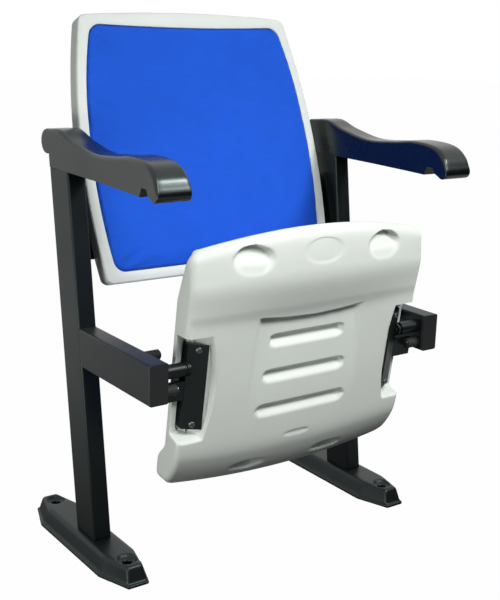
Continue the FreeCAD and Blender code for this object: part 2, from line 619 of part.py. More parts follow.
# Back: moulded shell with a tray for the pad, built upright with its rim at y = 0 and then reclined
def back_outline(inset, top_inset, bow):
    """Outline of the back, seen from the front, drawn in at the sides and at the top."""
    low = f"(back_half_low - ({inset}))"
    wide = f"(back_half_wide - ({inset}))"
    shoulder = f"(back_half_wide - back_shoulder_taper - ({inset}))"
    top = f"(back_half_top - ({inset}))"
    corner_height = f"(back_length - ({top_inset}) - ({bow}))"
    middle = "(back_shoulder / 2 + back_length / 2)"
    side = f"(({shoulder} + {top}) / 2 + back_side_bow)"
    return [
        (f"-{low}", inset), (low, inset, wide, "back_wide_at"),
        (shoulder, "back_shoulder", side, middle),
        (top, corner_height, "0", f"back_length - ({top_inset})"),
        (f"-{top}", corner_height, f"-{side}", middle),
        (f"-{shoulder}", "back_shoulder", f"-{wide}", "back_wide_at"),
    ]


def place_back(body):
    place(body, "0", "back_front", "back_bottom", "-back_recline")


def round_corners(body, radius, corners):
    """Round the edges that run front to back through the given corners of an outline."""
    spots = [Vector(value(corner[0]), 0, value(corner[1])) for corner in corners]

    def wanted(edge):
        middle = edge.CenterOfMass
        flat = Vector(middle.x, 0, middle.z)
        return along(edge, Vector(0, 1, 0)) and min(flat.distanceToPoint(spot) for spot in spots) < 0.01

    round_edges(body, radius, wanted)


def back_corners(outline):
    """Corners of the back's outline, without the soft shoulders."""
    return outline[:2] + outline[3:5]


def make_back_shell():
    body = new_body("back_shell")
    face = new_sketch(body, "back_face", "XZ_Plane", "-back_depth")
    outline = back_outline("0", "0", "back_top_bow")
    draw_outline(face, outline)
    extrude(body, "Pad", face, "back_depth")
    round_corners(body, "back_corner", back_corners(outline))
    rear = value("back_depth")
    round_edges(body, "back_edge", lambda edge: edge.BoundBox.YMin > rear - 0.01)
    tray = new_sketch(body, "back_tray_outline", "XZ_Plane")
    outline = back_outline("back_rim", "back_rim_top", "-pad_top_sag")
    draw_outline(tray, outline)
    extrude(body, "Pocket", tray, "back_tray")
    round_corners(body, "pad_corner + pad_clearance", back_corners(outline))
    panel = new_sketch(body, "back_panel_outline", "XZ_Plane", "-back_depth")
    draw_outline(panel, back_outline("back_panel_border", "back_panel_border", "back_top_bow"))
    extrude(body, "Pocket", panel, "back_panel", backwards=True)
    holes = new_sketch(body, "back_bolt_holes", "XZ_Plane", "-back_depth")
    for way in ("", "-"):
        for spot in back_bolt_heights():
            draw_circle(holes, f"{way}back_bolt_offset", spot, "bolt_shank + 2 * screw_clearance")
    extrude(body, "Pocket", holes, "bolt_length + screw_clearance", backwards=True)
    place_back(body)


def back_bolt_heights():
    return ("back_bracket_low + back_bolt_margin", "back_bracket_high - back_bolt_margin")


def make_back_pad():
    body = new_body("back_pad")
    outline = back_outline("back_rim + pad_clearance", "back_rim_top + pad_clearance", "-pad_top_sag")
    face = new_sketch(body, "back_pad_outline", "XZ_Plane", "-(back_tray - board_thickness)")
    draw_outline(face, outline)
    extrude(body, "Pad", face, "back_tray - board_thickness + back_pad_proud")
    round_corners(body, "pad_corner", back_corners(outline))
    proud = -value("back_pad_proud")
    round_edges(body, "pad_round", lambda edge: edge.BoundBox.YMax < proud + 0.01)
    place_back(body)
    board = new_body("back_pad_board")
    plate = new_sketch(board, "back_board_outline", "XZ_Plane", "-back_tray")
    draw_outline(plate, outline)
    extrude(board, "Pad", plate, "board_thickness")
    round_corners(board, "pad_corner", back_corners(outline))
    place_back(board)


def make_back_bracket(side, sign):
    """Steel angle: one leg on the post's inner face, one behind the shell, with two bolt holes."""
    body = new_body(f"{side}_back_bracket")
    name = body.Name
    outer = "arm_face"
    rear = "(back_depth + bracket_wall)"
    angle = new_sketch(body, f"{name}_angle", "XY_Plane", "back_bracket_low")
    corners = [
        ("back_bracket_reach", "back_depth"), ("back_bracket_reach", rear), (outer, rear),
        (outer, "back_depth - back_bracket_depth"),
        (f"{outer} - bracket_wall", "back_depth - back_bracket_depth"),
        (f"{outer} - bracket_wall", "back_depth"),
    ]
    draw_outline(angle, [(f"{sign} * ({x})", y) for x, y in corners])
    extrude(body, "Pad", angle, "back_bracket_high - back_bracket_low")
    holes = new_sketch(body, f"{name}_holes", "XZ_Plane", f"-{rear}")
    for spot in back_bolt_heights():
        draw_circle(holes, f"{sign} * back_bolt_offset", spot, "bolt_shank + 2 * screw_clearance")
    extrude(body, "Pocket", holes, "bracket_wall * 2", backwards=True)
    place_back(body)


def make_back_bolts():
    recline = Placement(
        Vector(0, value("back_front"), value("back_bottom")),
        Rotation(Vector(1, 0, 0), -value("back_recline")),
    )
    reach = value("bracket_wall + bolt_length")
    bolt = Part.makeCylinder(value("bolt_shank") / 2, reach)
    bolt = bolt.fuse(placed(hex_solid(value("bolt_head"), value("bolt_head_height")),
                            Vector(0, 0, -value("bolt_head_height")))).removeSplitter()
    solids = []
    for sign in SIDES.values():
        for spot in back_bolt_heights():
            head = Vector(sign * value("back_bolt_offset"), value("back_depth + bracket_wall"), value(spot))
            solid = placed(bolt, head, Rotation(Vector(1, 0, 0), 90))
            solid.Placement = recline.multiply(solid.Placement)
            solids.append(solid)
    grouped("back_bolts", solids)


# Seat: moulded shell built about its pivot with the front lip up, then tilted into its raised place
def place_seat(body):
    place(body, "0", "pivot_front", "pivot_height", "seat_tilt")


def seat_plan(inset, front_corner, front, rear_corner, rear):
    """Plan of the seat about its pivot, drawn in at its sides."""
    head = f"(seat_half_front - ({inset}))"
    tail = f"(seat_half_rear - ({inset}))"
    return [
        (f"-{tail}", f"-({rear_corner})", "0", f"-({rear})"), (tail, f"-({rear_corner})"),
        (head, front_corner, "0", front), (f"-{head}", front_corner),
    ]


def make_seat_shell():
    body = new_body("seat_shell")
    plan = new_sketch(body, "seat_plan", "XZ_Plane", "-seat_rear_rim")
    outline = seat_plan("0", "seat_front_corner", "seat_front", "seat_rear_corner", "seat_rear")
    draw_outline(plan, outline)
    extrude(body, "Pad", plan, "seat_rear_rim + seat_lip + seat_step_depth")
    round_corners(body, "seat_corner", outline)
    width = "frame_pitch"
    past_rear = "-(seat_rear + cut_past)"
    past_front = "seat_front + cut_past"
    low = "-(seat_lip + cut_past)"
    below = new_sketch(body, "seat_underside", "YZ_Plane")
    draw_outline(below, [
        (low, past_rear), ("tail_edge", past_rear),
        ("tail_edge", "-(seat_rear + edge_past)", "tail_bend - seat_under", "tail_bend_at - seat_rear"),
        ("-seat_under", "tail_length - seat_rear"),
        ("-seat_under", "-seat_slope_start", "slope_bend - seat_under", "slope_bend_at"),
        ("-seat_panel", "seat_step"),
        ("-(seat_panel + seat_step_depth)", "seat_step", "lip_belly - seat_lip", "seat_step + lip_belly_at"),
        ("-seat_lip", "seat_front - lip_low_at", "lip_roll - seat_lip", "seat_front - lip_roll_at"),
        ("-lip_end", "seat_front + edge_past"), ("-lip_end", past_front), (low, past_front),
    ])
    extrude(body, "Pocket", below, width, symmetric=True)
    high = "seat_rear_rim + cut_past"
    above = new_sketch(body, "seat_top_side", "YZ_Plane")
    draw_outline(above, [
        (high, past_rear), ("rear_edge", past_rear),
        ("rear_edge", "edge_past - seat_rear", "seat_rear_rim - rear_bend", "rear_bend_at - seat_rear"),
        ("seat_rear_rim", "rear_top_at - seat_rear", "seat_rim + rear_fall", "rear_fall_at - seat_rear"),
        ("seat_rim", "rear_foot_at - seat_rear"),
        ("seat_rim", "seat_step + fall_start", "seat_rim - fall_bend", "seat_front - fall_bend_at"),
        ("-lip_top", "seat_front + edge_past"), ("-lip_top", past_front), (high, past_front),
    ])
    extrude(body, "Pocket", above, width, symmetric=True)
    round_flanks(body)
    crown_lip(body)
    tray = new_sketch(body, "seat_tray", "XZ_Plane", "-tray_floor")
    outline = seat_plan(
        "tray_border", "tray_front - tray_front_bow", "tray_front", "tray_rear - tray_rear_bow", "tray_rear"
    )
    draw_outline(tray, outline)
    extrude(body, "Pocket", tray, "seat_rear_rim + cut_past")
    round_corners(body, "pad_corner + pad_clearance", outline)
    cut_louvres(body)
    cut_bracket_pockets(body)
    cut_grips(body)
    place_seat(body)


def round_flanks(body):
    """Cut the lower side edges of the seat to a quarter round along their whole length."""
    section = new_sketch(body, "seat_flank_section", "XY_Plane", "seat_step")
    low = "-seat_under"
    edge = "(seat_half_front + flank_out)"
    for way in ("", "-"):
        draw_outline(section, [
            (f"{way}({edge} - seat_flank)", low,
             f"{way}({edge} - seat_flank * (1 - sin(45)))", f"{low} + seat_flank * (1 - cos(45))"),
            (f"{way}{edge}", f"{low} + seat_flank"), (f"{way}({edge} + cut_past)", f"{low} + seat_flank"),
            (f"{way}({edge} + cut_past)", f"{low} - cut_past"),
            (f"{way}({edge} - seat_flank)", f"{low} - cut_past"),
        ])
    extrude(body, "Pocket", section, "seat_step + seat_rear * 2")


def crown_lip(body):
    """Cut the lip's lower face to a crown: a loft between arcs that are lowest on the centre line."""
    stations = [
        ("seat_step", "-(seat_panel + seat_step_depth)", "lip_crown / 2"),
        ("seat_step + lip_belly_at", "-seat_lip", "lip_crown * crown_share"),
        ("seat_front + cut_past", "-seat_lip", "lip_crown"),
    ]
    half = "(seat_half_front * crown_reach)"
    sections = []
    for number, (station, middle, rise) in enumerate(stations):
        section = new_sketch(body, f"seat_crown_{number}", "XY_Plane", station)
        end = f"{middle} + {rise} * crown_reach * crown_reach"
        low = "-seat_lip - cut_past"
        draw_outline(section, [(f"-{half}", end, "0", middle), (half, end), (half, low), (f"-{half}", low)])
        sections.append(section)
    crown = body.newObject("PartDesign::SubtractiveLoft", "seat_crown")
    crown.Profile = sections[0]
    crown.Sections = sections[1:]
    doc.recompute()


def cut_louvres(body):
    """Three louvres across the underside, each longer than the one before. Their floors start level with
    the underside at the rear and slope in towards a sharp front edge."""
    slope = "atan(slot_depth / slot_height)"
    run = "(slot_height / cos(atan(slot_depth / slot_height)))"
    for row, level in enumerate(("seat_under - slope_bend", "seat_under", "seat_under")):
        sketch = new_sketch(body, f"seat_louvre_{row}", "XZ_Plane", level)
        bind(sketch, "AttachmentOffset.Base.y", f"slot_first - {row} * slot_spacing - slot_height / 2")
        turn = Rotation(Vector(1, 0, 0), -value(slope))
        sketch.AttachmentOffset = Placement(sketch.AttachmentOffset.Base, turn)
        bind(sketch, "AttachmentOffset.Rotation.Angle", f"-{slope}")
        half = f"(slot_half_length + {row} * slot_growth)"
        draw_outline(sketch, [
            (f"-{half}", "0"), (half, "0", f"{half} + {run} / 2", f"{run} / 2"),
            (half, run), (f"-{half}", run, f"-{half} - {run} / 2", f"{run} / 2"),
        ])
        extrude(body, "Pocket", sketch, "cut_past", backwards=True)


def flange_back():
    """Upper face of a bracket's flange: its inner edge, and the corner where it meets the wing."""
    edge = "bracket_inner - bracket_plate * sin(bracket_slope)"
    depth = "bracket_plate * cos(bracket_slope) - bracket_face"
    rise = "bracket_plate * (1 - sin(bracket_slope)) / cos(bracket_slope)"
    return (edge, depth), ("bracket_outer - bracket_plate", f"bracket_fold + {rise}")


def flange_sketch(body, name, sign):
    """Empty sketch on the lower face of a bracket's sloping flange, along the middle of its width."""
    sketch = new_sketch(body, name, "XZ_Plane", "bracket_face - bracket_rise / 2")
    bind(sketch, "AttachmentOffset.Base.x", f"{sign} * (bracket_outer - bracket_width / 2)")
    turn = Rotation(Vector(0, 1, 0), sign * value("bracket_slope"))
    sketch.AttachmentOffset = Placement(sketch.AttachmentOffset.Base, turn)
    bind(sketch, "AttachmentOffset.Rotation.Angle", f"{sign} * bracket_slope")
    return sketch


def cut_bracket_pockets(body):
    """Side pockets: a bowed opening, a sloping land under the bracket's flange, a slit for its wing, a
    window in the side wall round the hinge, and pilot holes for the screws."""
    ahead = "(bracket_ahead + pocket_margin)"
    behind = "(bracket_behind + pocket_margin)"
    beyond = "(seat_half_rear + cut_past)"
    below = "(seat_lip + seat_step_depth)"
    (land, floor), (fold, top) = flange_back()
    slit = "(bracket_outer - bracket_plate - pocket_fit)"
    wall = "(bracket_outer + pocket_side)"
    opening = new_sketch(body, "seat_pocket_opening", "XZ_Plane", below)
    slope = new_sketch(body, "seat_pocket_land", "XY_Plane", ahead)
    gap = new_sketch(body, "seat_pocket_slit", "XY_Plane", ahead)
    window = new_sketch(body, "seat_pocket_window", "XY_Plane", "barrel_outer / 2 + window_margin")
    for way in ("", "-"):
        draw_outline(opening, [
            (f"{way}{beyond}", f"-{behind}"), (f"{way}{beyond}", ahead),
            (f"{way}bracket_inner", ahead, f"{way}(bracket_inner - pocket_bow)", f"({ahead} - {behind}) / 2"),
            (f"{way}bracket_inner", f"-{behind}"),
        ])
        draw_outline(slope, [
            (f"{way}({land})", floor), (f"{way}({fold})", top), (f"{way}{beyond}", top),
            (f"{way}{beyond}", f"-{below}"), (f"{way}({land})", f"-{below}"),
        ])
        draw_outline(gap, [
            (f"{way}{slit}", floor), (f"{way}{slit}", "pocket_roof"),
            (f"{way}{wall}", "pocket_roof"), (f"{way}{wall}", floor),
        ])
        draw_outline(window, [
            (f"{way}bracket_outer", floor), (f"{way}bracket_outer", "window_roof"),
            (f"{way}{beyond}", "window_roof"), (f"{way}{beyond}", floor),
        ])
    extrude(body, "Pocket", opening, f"{below} + ({floor})")
    extrude(body, "Pocket", slope, f"{ahead} + {behind}")
    extrude(body, "Pocket", gap, f"{ahead} + {behind}")
    extrude(body, "Pocket", window, "barrel_outer / 2 + stop_bar_end + 2 * window_margin")
    for side, sign in SIDES.items():
        pilots = flange_sketch(body, f"seat_pilots_{side}", sign)
        for spot in bracket_screw_places():
            draw_circle(pilots, "0", spot, "screw_shank + 2 * screw_clearance")
        extrude(body, "Pocket", pilots, "bracket_screw_length + screw_clearance")


def cut_grips(body):
    """Finger grips under the front lip and thumb notches at the rear edge, scooped by ellipsoids."""
    scoops = []
    for way in ("-", ""):
        scoops.append((f"{way}grip_offset", "-seat_lip", "grip_front", "grip_half_width", "grip_half_height"))
        scoops.append((f"{way}thumb_offset", "-thumb_low", "thumb_margin - seat_rear", "thumb_half_width",
                       "thumb_half_height"))
    for number, (x, y, z, half_width, half_height) in enumerate(scoops):
        scoop = body.newObject("PartDesign::SubtractiveEllipsoid", f"seat_scoop_{number}")
        bind(scoop, "Radius1", half_height)
        bind(scoop, "Radius2", half_width)
        bind(scoop, "Radius3", "grip_depth")
        for axis, text in zip("xyz", (x, y, z)):
            bind(scoop, f"Placement.Base.{axis}", text)
        doc.recompute()


def make_seat_pad():
    """Soft pad on a thin board in the seat's tray."""
    outline = seat_plan(
        "tray_border + pad_clearance",
        "tray_front - tray_front_bow - pad_clearance", "tray_front - pad_clearance",
        "tray_rear - tray_rear_bow - pad_clearance", "tray_rear - pad_clearance",
    )
    board = new_body("seat_pad_board")
    plate = new_sketch(board, "seat_board_outline", "XZ_Plane", "-tray_floor")
    draw_outline(plate, outline)
    extrude(board, "Pad", plate, "board_thickness", backwards=True)
    round_corners(board, "pad_corner", outline)
    place_seat(board)
    body = new_body("seat_pad")
    face = new_sketch(body, "seat_pad_outline", "XZ_Plane", "-(tray_floor + board_thickness)")
    draw_outline(face, outline)
    extrude(body, "Pad", face, "seat_pad_top - tray_floor - board_thickness", backwards=True)
    round_corners(body, "pad_corner", outline)
    top = value("seat_pad_top")
    round_edges(body, "pad_round", lambda edge: edge.BoundBox.YMin > top - 0.01)
    place_seat(body)


# Hinge: angle bracket with bush and stop bar on the seat; pivot, spring and stops on the arm
def make_seat_bracket(side, sign):
    """Steel angle: a sloping flange screwed into the shell's pocket, and a wing that carries the hinge."""
    body = new_body(f"{side}_seat_bracket")
    name = body.Name
    angle = new_sketch(body, f"{name}_angle", "XY_Plane", "-bracket_behind")
    back_edge, fold = flange_back()
    corners = [
        ("bracket_inner", "-bracket_face"), ("bracket_outer", "bracket_fold"),
        ("bracket_outer", "bracket_wing"), ("bracket_outer - bracket_plate", "bracket_wing"),
        fold, back_edge,
    ]
    draw_outline(angle, [(f"{sign} * ({x})", y) for x, y in corners])
    extrude(body, "Pad", angle, "bracket_ahead + bracket_behind")
    inner_face = f"{sign} * bracket_outer - bracket_plate * {(1 + sign) // 2}"
    ear = new_sketch(body, f"{name}_ear", "YZ_Plane", inner_face)
    draw_circle(ear, "0", "0", "bracket_ear * 2")
    extrude(body, "Pad", ear, "bracket_plate")
    bore = new_sketch(body, f"{name}_bore", "YZ_Plane", f"{sign} * bracket_outer")
    draw_circle(bore, "0", "0", "bush_outer + 2 * bush_fit")
    extrude(body, "Pocket", bore, "bracket_plate * 4", symmetric=True)
    holes = flange_sketch(body, f"{name}_holes", sign)
    for spot in bracket_screw_places():
        draw_circle(holes, "0", spot, "screw_shank + 2 * screw_clearance")
    extrude(body, "Pocket", holes, "bracket_plate * 2")
    place_seat(body)


def bracket_screw_places():
    return ("bracket_ahead - bracket_screw_margin", "bracket_screw_margin - bracket_behind")


def seat_placement():
    """Place of the raised seat."""
    return Placement(
        Vector(0, value("pivot_front"), value("pivot_height")),
        Rotation(Vector(1, 0, 0), value("seat_tilt")),
    )


def make_bracket_screws():
    solids = []
    for sign in SIDES.values():
        for spot in bracket_screw_places():
            head = Vector(sign * value("bracket_outer - bracket_width / 2"),
                          value("bracket_rise / 2 - bracket_face"), value(spot))
            turn = Rotation(Vector(0, 0, 1), sign * value("bracket_slope"))
            solid = placed(screw_solid("bracket_screw_length"), head,
                           turn.multiply(Rotation(Vector(1, 0, 0), -90)))
            solid.Placement = seat_placement().multiply(solid.Placement)
            solids.append(solid)
    grouped("seat_bracket_screws", solids)


def make_stop_bar(side, sign):
    """Flat bar welded to the bracket's outer face, which swings from one buffer to the other."""
    body = new_body(f"{side}_stop_bar")
    sketch = new_sketch(body, f"{body.Name}_section", "XY_Plane", "-stop_bar_end")
    rear = "stop_bar_front + stop_bar_thick"
    corners = [
        ("bracket_outer", "stop_bar_front"), ("stop_bar_outer", "stop_bar_front"),
        ("stop_bar_outer", rear), ("bracket_outer", rear),
    ]
    draw_outline(sketch, [(f"{sign} * ({x})", y) for x, y in corners])
    extrude(body, "Pad", sketch, "stop_bar_end - stop_bar_start")
    place_seat(body)


def make_pivot(side, sign):
    """Pivot stud bolted through the arm's inner wall, its bush in the bracket, and the spring barrel."""
    bush_face = "bracket_outer + bush_flange_height"
    shoulder = f"{bush_face} + side_gap"
    tip = "bracket_outer - bracket_plate + side_gap"
    thread_end = "arm_face + tube_wall + washer_height + nut_height + thread_past"
    axis = ("pivot_front", "pivot_height")
    turned(f"{side}_pivot_stud", sign, [
        (thread_end, "0"), (thread_end, "pivot_thread / 2"), ("arm_face", "pivot_thread / 2"),
        ("arm_face", "pivot_core / 2"), (shoulder, "pivot_core / 2"), (shoulder, "pivot_journal / 2"),
        (f"{tip} + journal_chamfer", "pivot_journal / 2"),
        (tip, "pivot_journal / 2 - journal_chamfer"), (tip, "0"),
    ], axis)
    bore = "pivot_journal / 2 + running_gap"
    turned(f"{side}_pivot_bush", sign, [
        ("bracket_outer - bracket_plate", bore), ("bracket_outer - bracket_plate", "bush_outer / 2"),
        ("bracket_outer", "bush_outer / 2"), ("bracket_outer", "bush_flange / 2"),
        (bush_face, "bush_flange / 2"), (bush_face, bore),
    ], axis)
    barrel_end = f"{bush_face} + barrel_gap"
    inside = "barrel_outer / 2 - barrel_wall"
    turned(f"{side}_spring_barrel", sign, [
        ("arm_face", inside), ("arm_face", "barrel_outer / 2"), (barrel_end, "barrel_outer / 2"),
        (barrel_end, "pivot_core / 2"), (f"{barrel_end} + barrel_wall", "pivot_core / 2"),
        (f"{barrel_end} + barrel_wall", inside),
    ], axis)


def make_return_spring(side, sign):
    """Torsion spring: a wire swept along a helix inside the barrel."""
    coil = doc.addObject("Part::Helix", f"{side}_spring_line")
    length = "(hinge_gap - bush_flange_height - barrel_gap - 2 * spring_end)"
    bind(coil, "Height", length)
    bind(coil, "Pitch", f"{length} / spring_turns")
    bind(coil, "Radius", "spring_mean / 2")
    wire = doc.addObject("Part::Circle", f"{side}_spring_wire")
    bind(wire, "Radius", "spring_wire / 2")
    bind(wire, "Placement.Base.x", "spring_mean / 2")
    wire.Placement = Placement(Vector(value("spring_mean / 2"), 0, 0), Rotation(Vector(1, 0, 0), 90))
    spring = doc.addObject("Part::Sweep", f"{side}_return_spring")
    spring.Label = f"{side}_return_spring"
    spring.Sections = [wire]
    spring.Spine = coil
    spring.Solid = True
    spring.Frenet = True
    spring.Placement = Placement(Vector(0, 0, 0), Rotation(Vector(0, 1, 0), 90))
    inner = "bracket_outer + bush_flange_height + barrel_gap + spring_end"
    start = inner if sign > 0 else f"-({inner} + {length})"
    for axis, text in zip("xyz", (start, "pivot_front", "pivot_height")):
        bind(spring, f"Placement.Base.{axis}", text)
    doc.recompute()
    sub_parts.append(spring)


def make_pivot_fasteners():
    washers = []
    nuts = []
    hole = value("pivot_thread") / 2 + value("running_gap")
    washer = Part.makeCylinder(value("washer_outer") / 2, value("washer_height"))
    washer = washer.cut(Part.makeCylinder(hole, value("washer_height")))
    nut = hex_solid(value("nut_flats"), value("nut_height"))
    nut = nut.cut(Part.makeCylinder(hole, value("nut_height")))
    for sign in SIDES.values():
        outward = Rotation(Vector(0, 0, 1), Vector(sign, 0, 0))
        wall = Vector(sign * value("arm_face + tube_wall"), value("pivot_front"), value("pivot_height"))
        washers.append(placed(washer, wall, outward))
        nuts.append(placed(nut, wall + Vector(sign * value("washer_height"), 0, 0), outward))
    grouped("pivot_washers", washers)
    grouped("pivot_nuts", nuts)


def swung(along_seat, above, turn):
    """Place in the frame of a point of the seat, given behind and above the pivot, at a swing."""
    angle = f"(seat_tilt + {turn})"
    front_to_back = f"pivot_front + ({above}) * cos{angle} + ({along_seat}) * sin{angle}"
    height = f"pivot_height + ({above}) * sin{angle} - ({along_seat}) * cos{angle}"
    return front_to_back, height


def make_stops(side, sign):
    """Upright stop ahead of the bar and the stop in use behind it, each a stud with a rubber buffer."""
    reach = "(buffer_outer / 2 + stop_gap)"
    upright = swung("stop_upright_at", f"stop_bar_front - {reach}", "0")
    in_use = swung("stop_use_at", f"stop_bar_front + stop_bar_thick + {reach}", "seat_travel")
    head = "stud_end + stud_head_height"
    for name, axis in (("upright", upright), ("use", in_use)):
        turned(f"{side}_{name}_stop", sign, [
            ("arm_face", "0"), ("arm_face", "stud_diameter / 2"), (head, "stud_diameter / 2"),
            (head, "stud_head / 2"), ("stud_end", "stud_head / 2"), ("stud_end", "0"),
        ], axis)
        turned(f"{side}_{name}_buffer", sign, [
            ("arm_face", "stud_diameter / 2 + buffer_fit"), ("arm_face", "buffer_outer / 2"),
            (head, "buffer_outer / 2"), (head, "stud_diameter / 2 + buffer_fit"),
        ], axis)


def build():
    for side, sign in SIDES.items():
        make_foot(side, sign)
        make_post(side, sign)
        make_arm(side, sign)
        make_end_cap(side, sign)
        make_carrier_bar(side, sign)
        make_armrest(side, sign)
        make_back_bracket(side, sign)
        make_seat_bracket(side, sign)
        make_stop_bar(side, sign)
        make_pivot(side, sign)
        make_return_spring(side, sign)
        make_stops(side, sign)
    make_armrest_screws()
    make_back_shell()
    make_back_pad()
    make_back_bolts()
    make_seat_shell()
    make_seat_pad()
    make_bracket_screws()
    make_pivot_fasteners()
    doc.recompute()


def export():
    """Check every object, then write one file for each sub-part."""
    for item in doc.Objects:
        if "Invalid" in item.State or "Error" in item.State:
            raise RuntimeError(f"{item.Label} failed: {item.State}")
    for part in sub_parts:
        if part.Shape.isNull() or not part.Shape.isValid():
            raise RuntimeError(f"{part.Label} has no valid shape")
    for part in sub_parts:
        part.Shape.exportStep(f"parts/{part.Label}.step")
        print(part.Label, len(part.Shape.Solids), round(part.Shape.Volume / 1000, 1), "cm3")


build()
export()
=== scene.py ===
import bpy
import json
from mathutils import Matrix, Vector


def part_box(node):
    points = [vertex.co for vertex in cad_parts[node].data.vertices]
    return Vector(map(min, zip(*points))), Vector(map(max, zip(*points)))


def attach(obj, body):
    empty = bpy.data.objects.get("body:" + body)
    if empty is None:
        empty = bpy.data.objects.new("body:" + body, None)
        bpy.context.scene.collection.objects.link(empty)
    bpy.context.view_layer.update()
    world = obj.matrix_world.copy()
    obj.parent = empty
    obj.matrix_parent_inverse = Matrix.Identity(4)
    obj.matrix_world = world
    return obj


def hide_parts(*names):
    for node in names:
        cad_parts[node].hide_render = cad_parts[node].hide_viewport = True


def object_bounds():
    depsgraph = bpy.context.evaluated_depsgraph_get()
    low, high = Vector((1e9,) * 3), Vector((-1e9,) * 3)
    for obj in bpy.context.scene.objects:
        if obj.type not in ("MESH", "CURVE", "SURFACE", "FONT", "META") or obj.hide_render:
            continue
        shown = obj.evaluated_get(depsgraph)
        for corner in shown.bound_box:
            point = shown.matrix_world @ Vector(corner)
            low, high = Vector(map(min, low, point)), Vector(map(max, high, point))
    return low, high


bl_info = {
    "name": "Tip-up Stadium Seat",
    "version": (1, 0, 0),
    "blender": (4, 5, 0),
    "location": "View3D > Sidebar > Stadium Seat",
    "description": "Dresses the packed stadium seat: moulded shells, pads, armrests, finishes and studio",
    "category": "Object",
}

import json
import math

import bmesh
import bpy
import numpy as np
from bpy.props import FloatProperty, FloatVectorProperty, PointerProperty
from mathutils import Matrix, Vector

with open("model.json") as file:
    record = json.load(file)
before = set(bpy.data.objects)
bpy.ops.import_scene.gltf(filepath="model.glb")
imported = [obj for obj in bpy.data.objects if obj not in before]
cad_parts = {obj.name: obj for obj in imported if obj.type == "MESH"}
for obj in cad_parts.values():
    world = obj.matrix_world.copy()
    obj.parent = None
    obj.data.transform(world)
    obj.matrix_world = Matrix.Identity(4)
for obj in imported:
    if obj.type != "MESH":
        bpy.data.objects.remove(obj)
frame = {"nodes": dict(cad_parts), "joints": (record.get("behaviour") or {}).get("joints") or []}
CAD_BOX = [list(corner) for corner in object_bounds()]
PIVOT = frame["joints"][0]["pos_m"]
MM = 0.001
SIDES = ("left", "right")
IMAGE_HEIGHT = 600
MIDDLE = Vector(CAD_BOX[0]).lerp(Vector(CAD_BOX[1]), 0.5)

# Softboxes in metres: place, target and edge, then the spread of the beam in degrees. The one behind
# fills the object's rear and isn't reflected.
LAMPS = {
    "key": ((-0.3, -1.1, 1.5), (0, -0.25, 0.45), 0.6, 70),
    "far_side": ((1.0, -1.55, 2.0), MIDDLE, 0.5, 180),
    "low_left": ((-1.2, -0.35, 0.25), (-0.2, -0.2, 0.25), 0.4, 180),
    "behind": ((0.9, 2.2, 1.2), MIDDLE, 1.2, 180),
}

# Corners in metres of the floor, and of an upright black card at the right that only reflections show: a
# painted dark reflection, as it casts no shadow and blocks no light.
FLOOR = [(-12, -12, 0), (12, -12, 0), (12, 12, 0), (-12, 12, 0)]
CARD = [(-0.39, -1.6, 0.02), (1.39, -0.3, 0.02), (1.39, -0.3, 0.92), (-0.39, -1.6, 0.92)]


def linear(hex_colour):
    """sRGB hex to linear RGBA: x / 12.92 in the toe, ((x + 0.055) / 1.055) to the power 2.4 above it."""
    channels = np.array([int(hex_colour[i:i + 2], 16) for i in (1, 3, 5)]) / 255
    low = channels / 12.92
    high = ((channels + 0.055) / 1.055) ** 2.4
    return (*np.where(channels <= 0.04045, low, high), 1.0)


def length(description, millimetres):
    """A size that a user may change, given in millimetres and kept in metres."""
    return FloatProperty(description=description, default=millimetres * MM, unit="LENGTH", precision=4)


def turn(description, degrees):
    """An angle that a user may change, given in degrees."""
    return FloatProperty(description=description, default=math.radians(degrees), unit="ROTATION")


def power(description, watts):
    """A lamp's power that a user may change."""
    return FloatProperty(description=description, default=watts, unit="POWER")


def number(description, default):
    """A plain number that a user may change."""
    return FloatProperty(description=description, default=default)


def colour(description, hex_colour):
    """A colour that a user may change, given as sRGB hex."""
    return FloatVectorProperty(description=description, default=linear(hex_colour), size=4,
                               subtype="COLOR", min=0, max=1)


def named(group):
    """Give each setting of a group its name, from the attribute that holds it."""
    for attribute, setting in group.__annotations__.items():
        setting.keywords["name"] = attribute.replace("_", " ").capitalize()
    return group


@named
class BackSizes(bpy.types.PropertyGroup):
    front: length("Front of the rim at the back's lower edge", 7)
    bottom: length("Height of the back's lower edge", 425)
    recline: turn("Recline of the back", 18.3)
    height: length("Back along its slope", 433)
    half_low: length("Half width at the lower edge", 219)
    half_wide: length("Half width where the back is widest", 231)
    wide_at: length("Where the back is widest, along its slope", 150)
    half_shoulder: length("Half width where the back starts to narrow", 227.5)
    shoulder_at: length("Where the back starts to narrow, along its slope", 250)
    side_bow: length("Outward bow of the sides above the shoulder", 3)
    half_top: length("Half width at the top corners", 198.5)
    top_bow: length("Rise of the top edge in its middle", 7)
    depth: length("Thickness of the shell", 32)
    rim: length("Rim beside the pad", 17.5)
    rim_top: length("Rim above the middle of the pad", 26)
    pad_sag: length("Sag of the pad's top edge in its middle", 4)
    corner: length("Corner rounding of the shell", 11)
    pad_corner: length("Corner rounding of the pad", 17)
    edge: length("Rounding of the shell's front edge", 4)
    rear_edge: length("Rounding of the shell's rear edge", 9)
    tray: length("Depth of the pad's tray", 14)
    board: length("Board under the pad", 6)
    panel_border: length("Border round the sunk panel behind", 46)
    panel_depth: length("Depth of the sunk panel behind", 4)
    pad_proud: length("How far the pad's edge stands out of the rim", 5)
    pad_crown: length("Rise of the pad from its edge to its middle", 4)
    pad_round: length("Rounding of the pad's edge", 6)


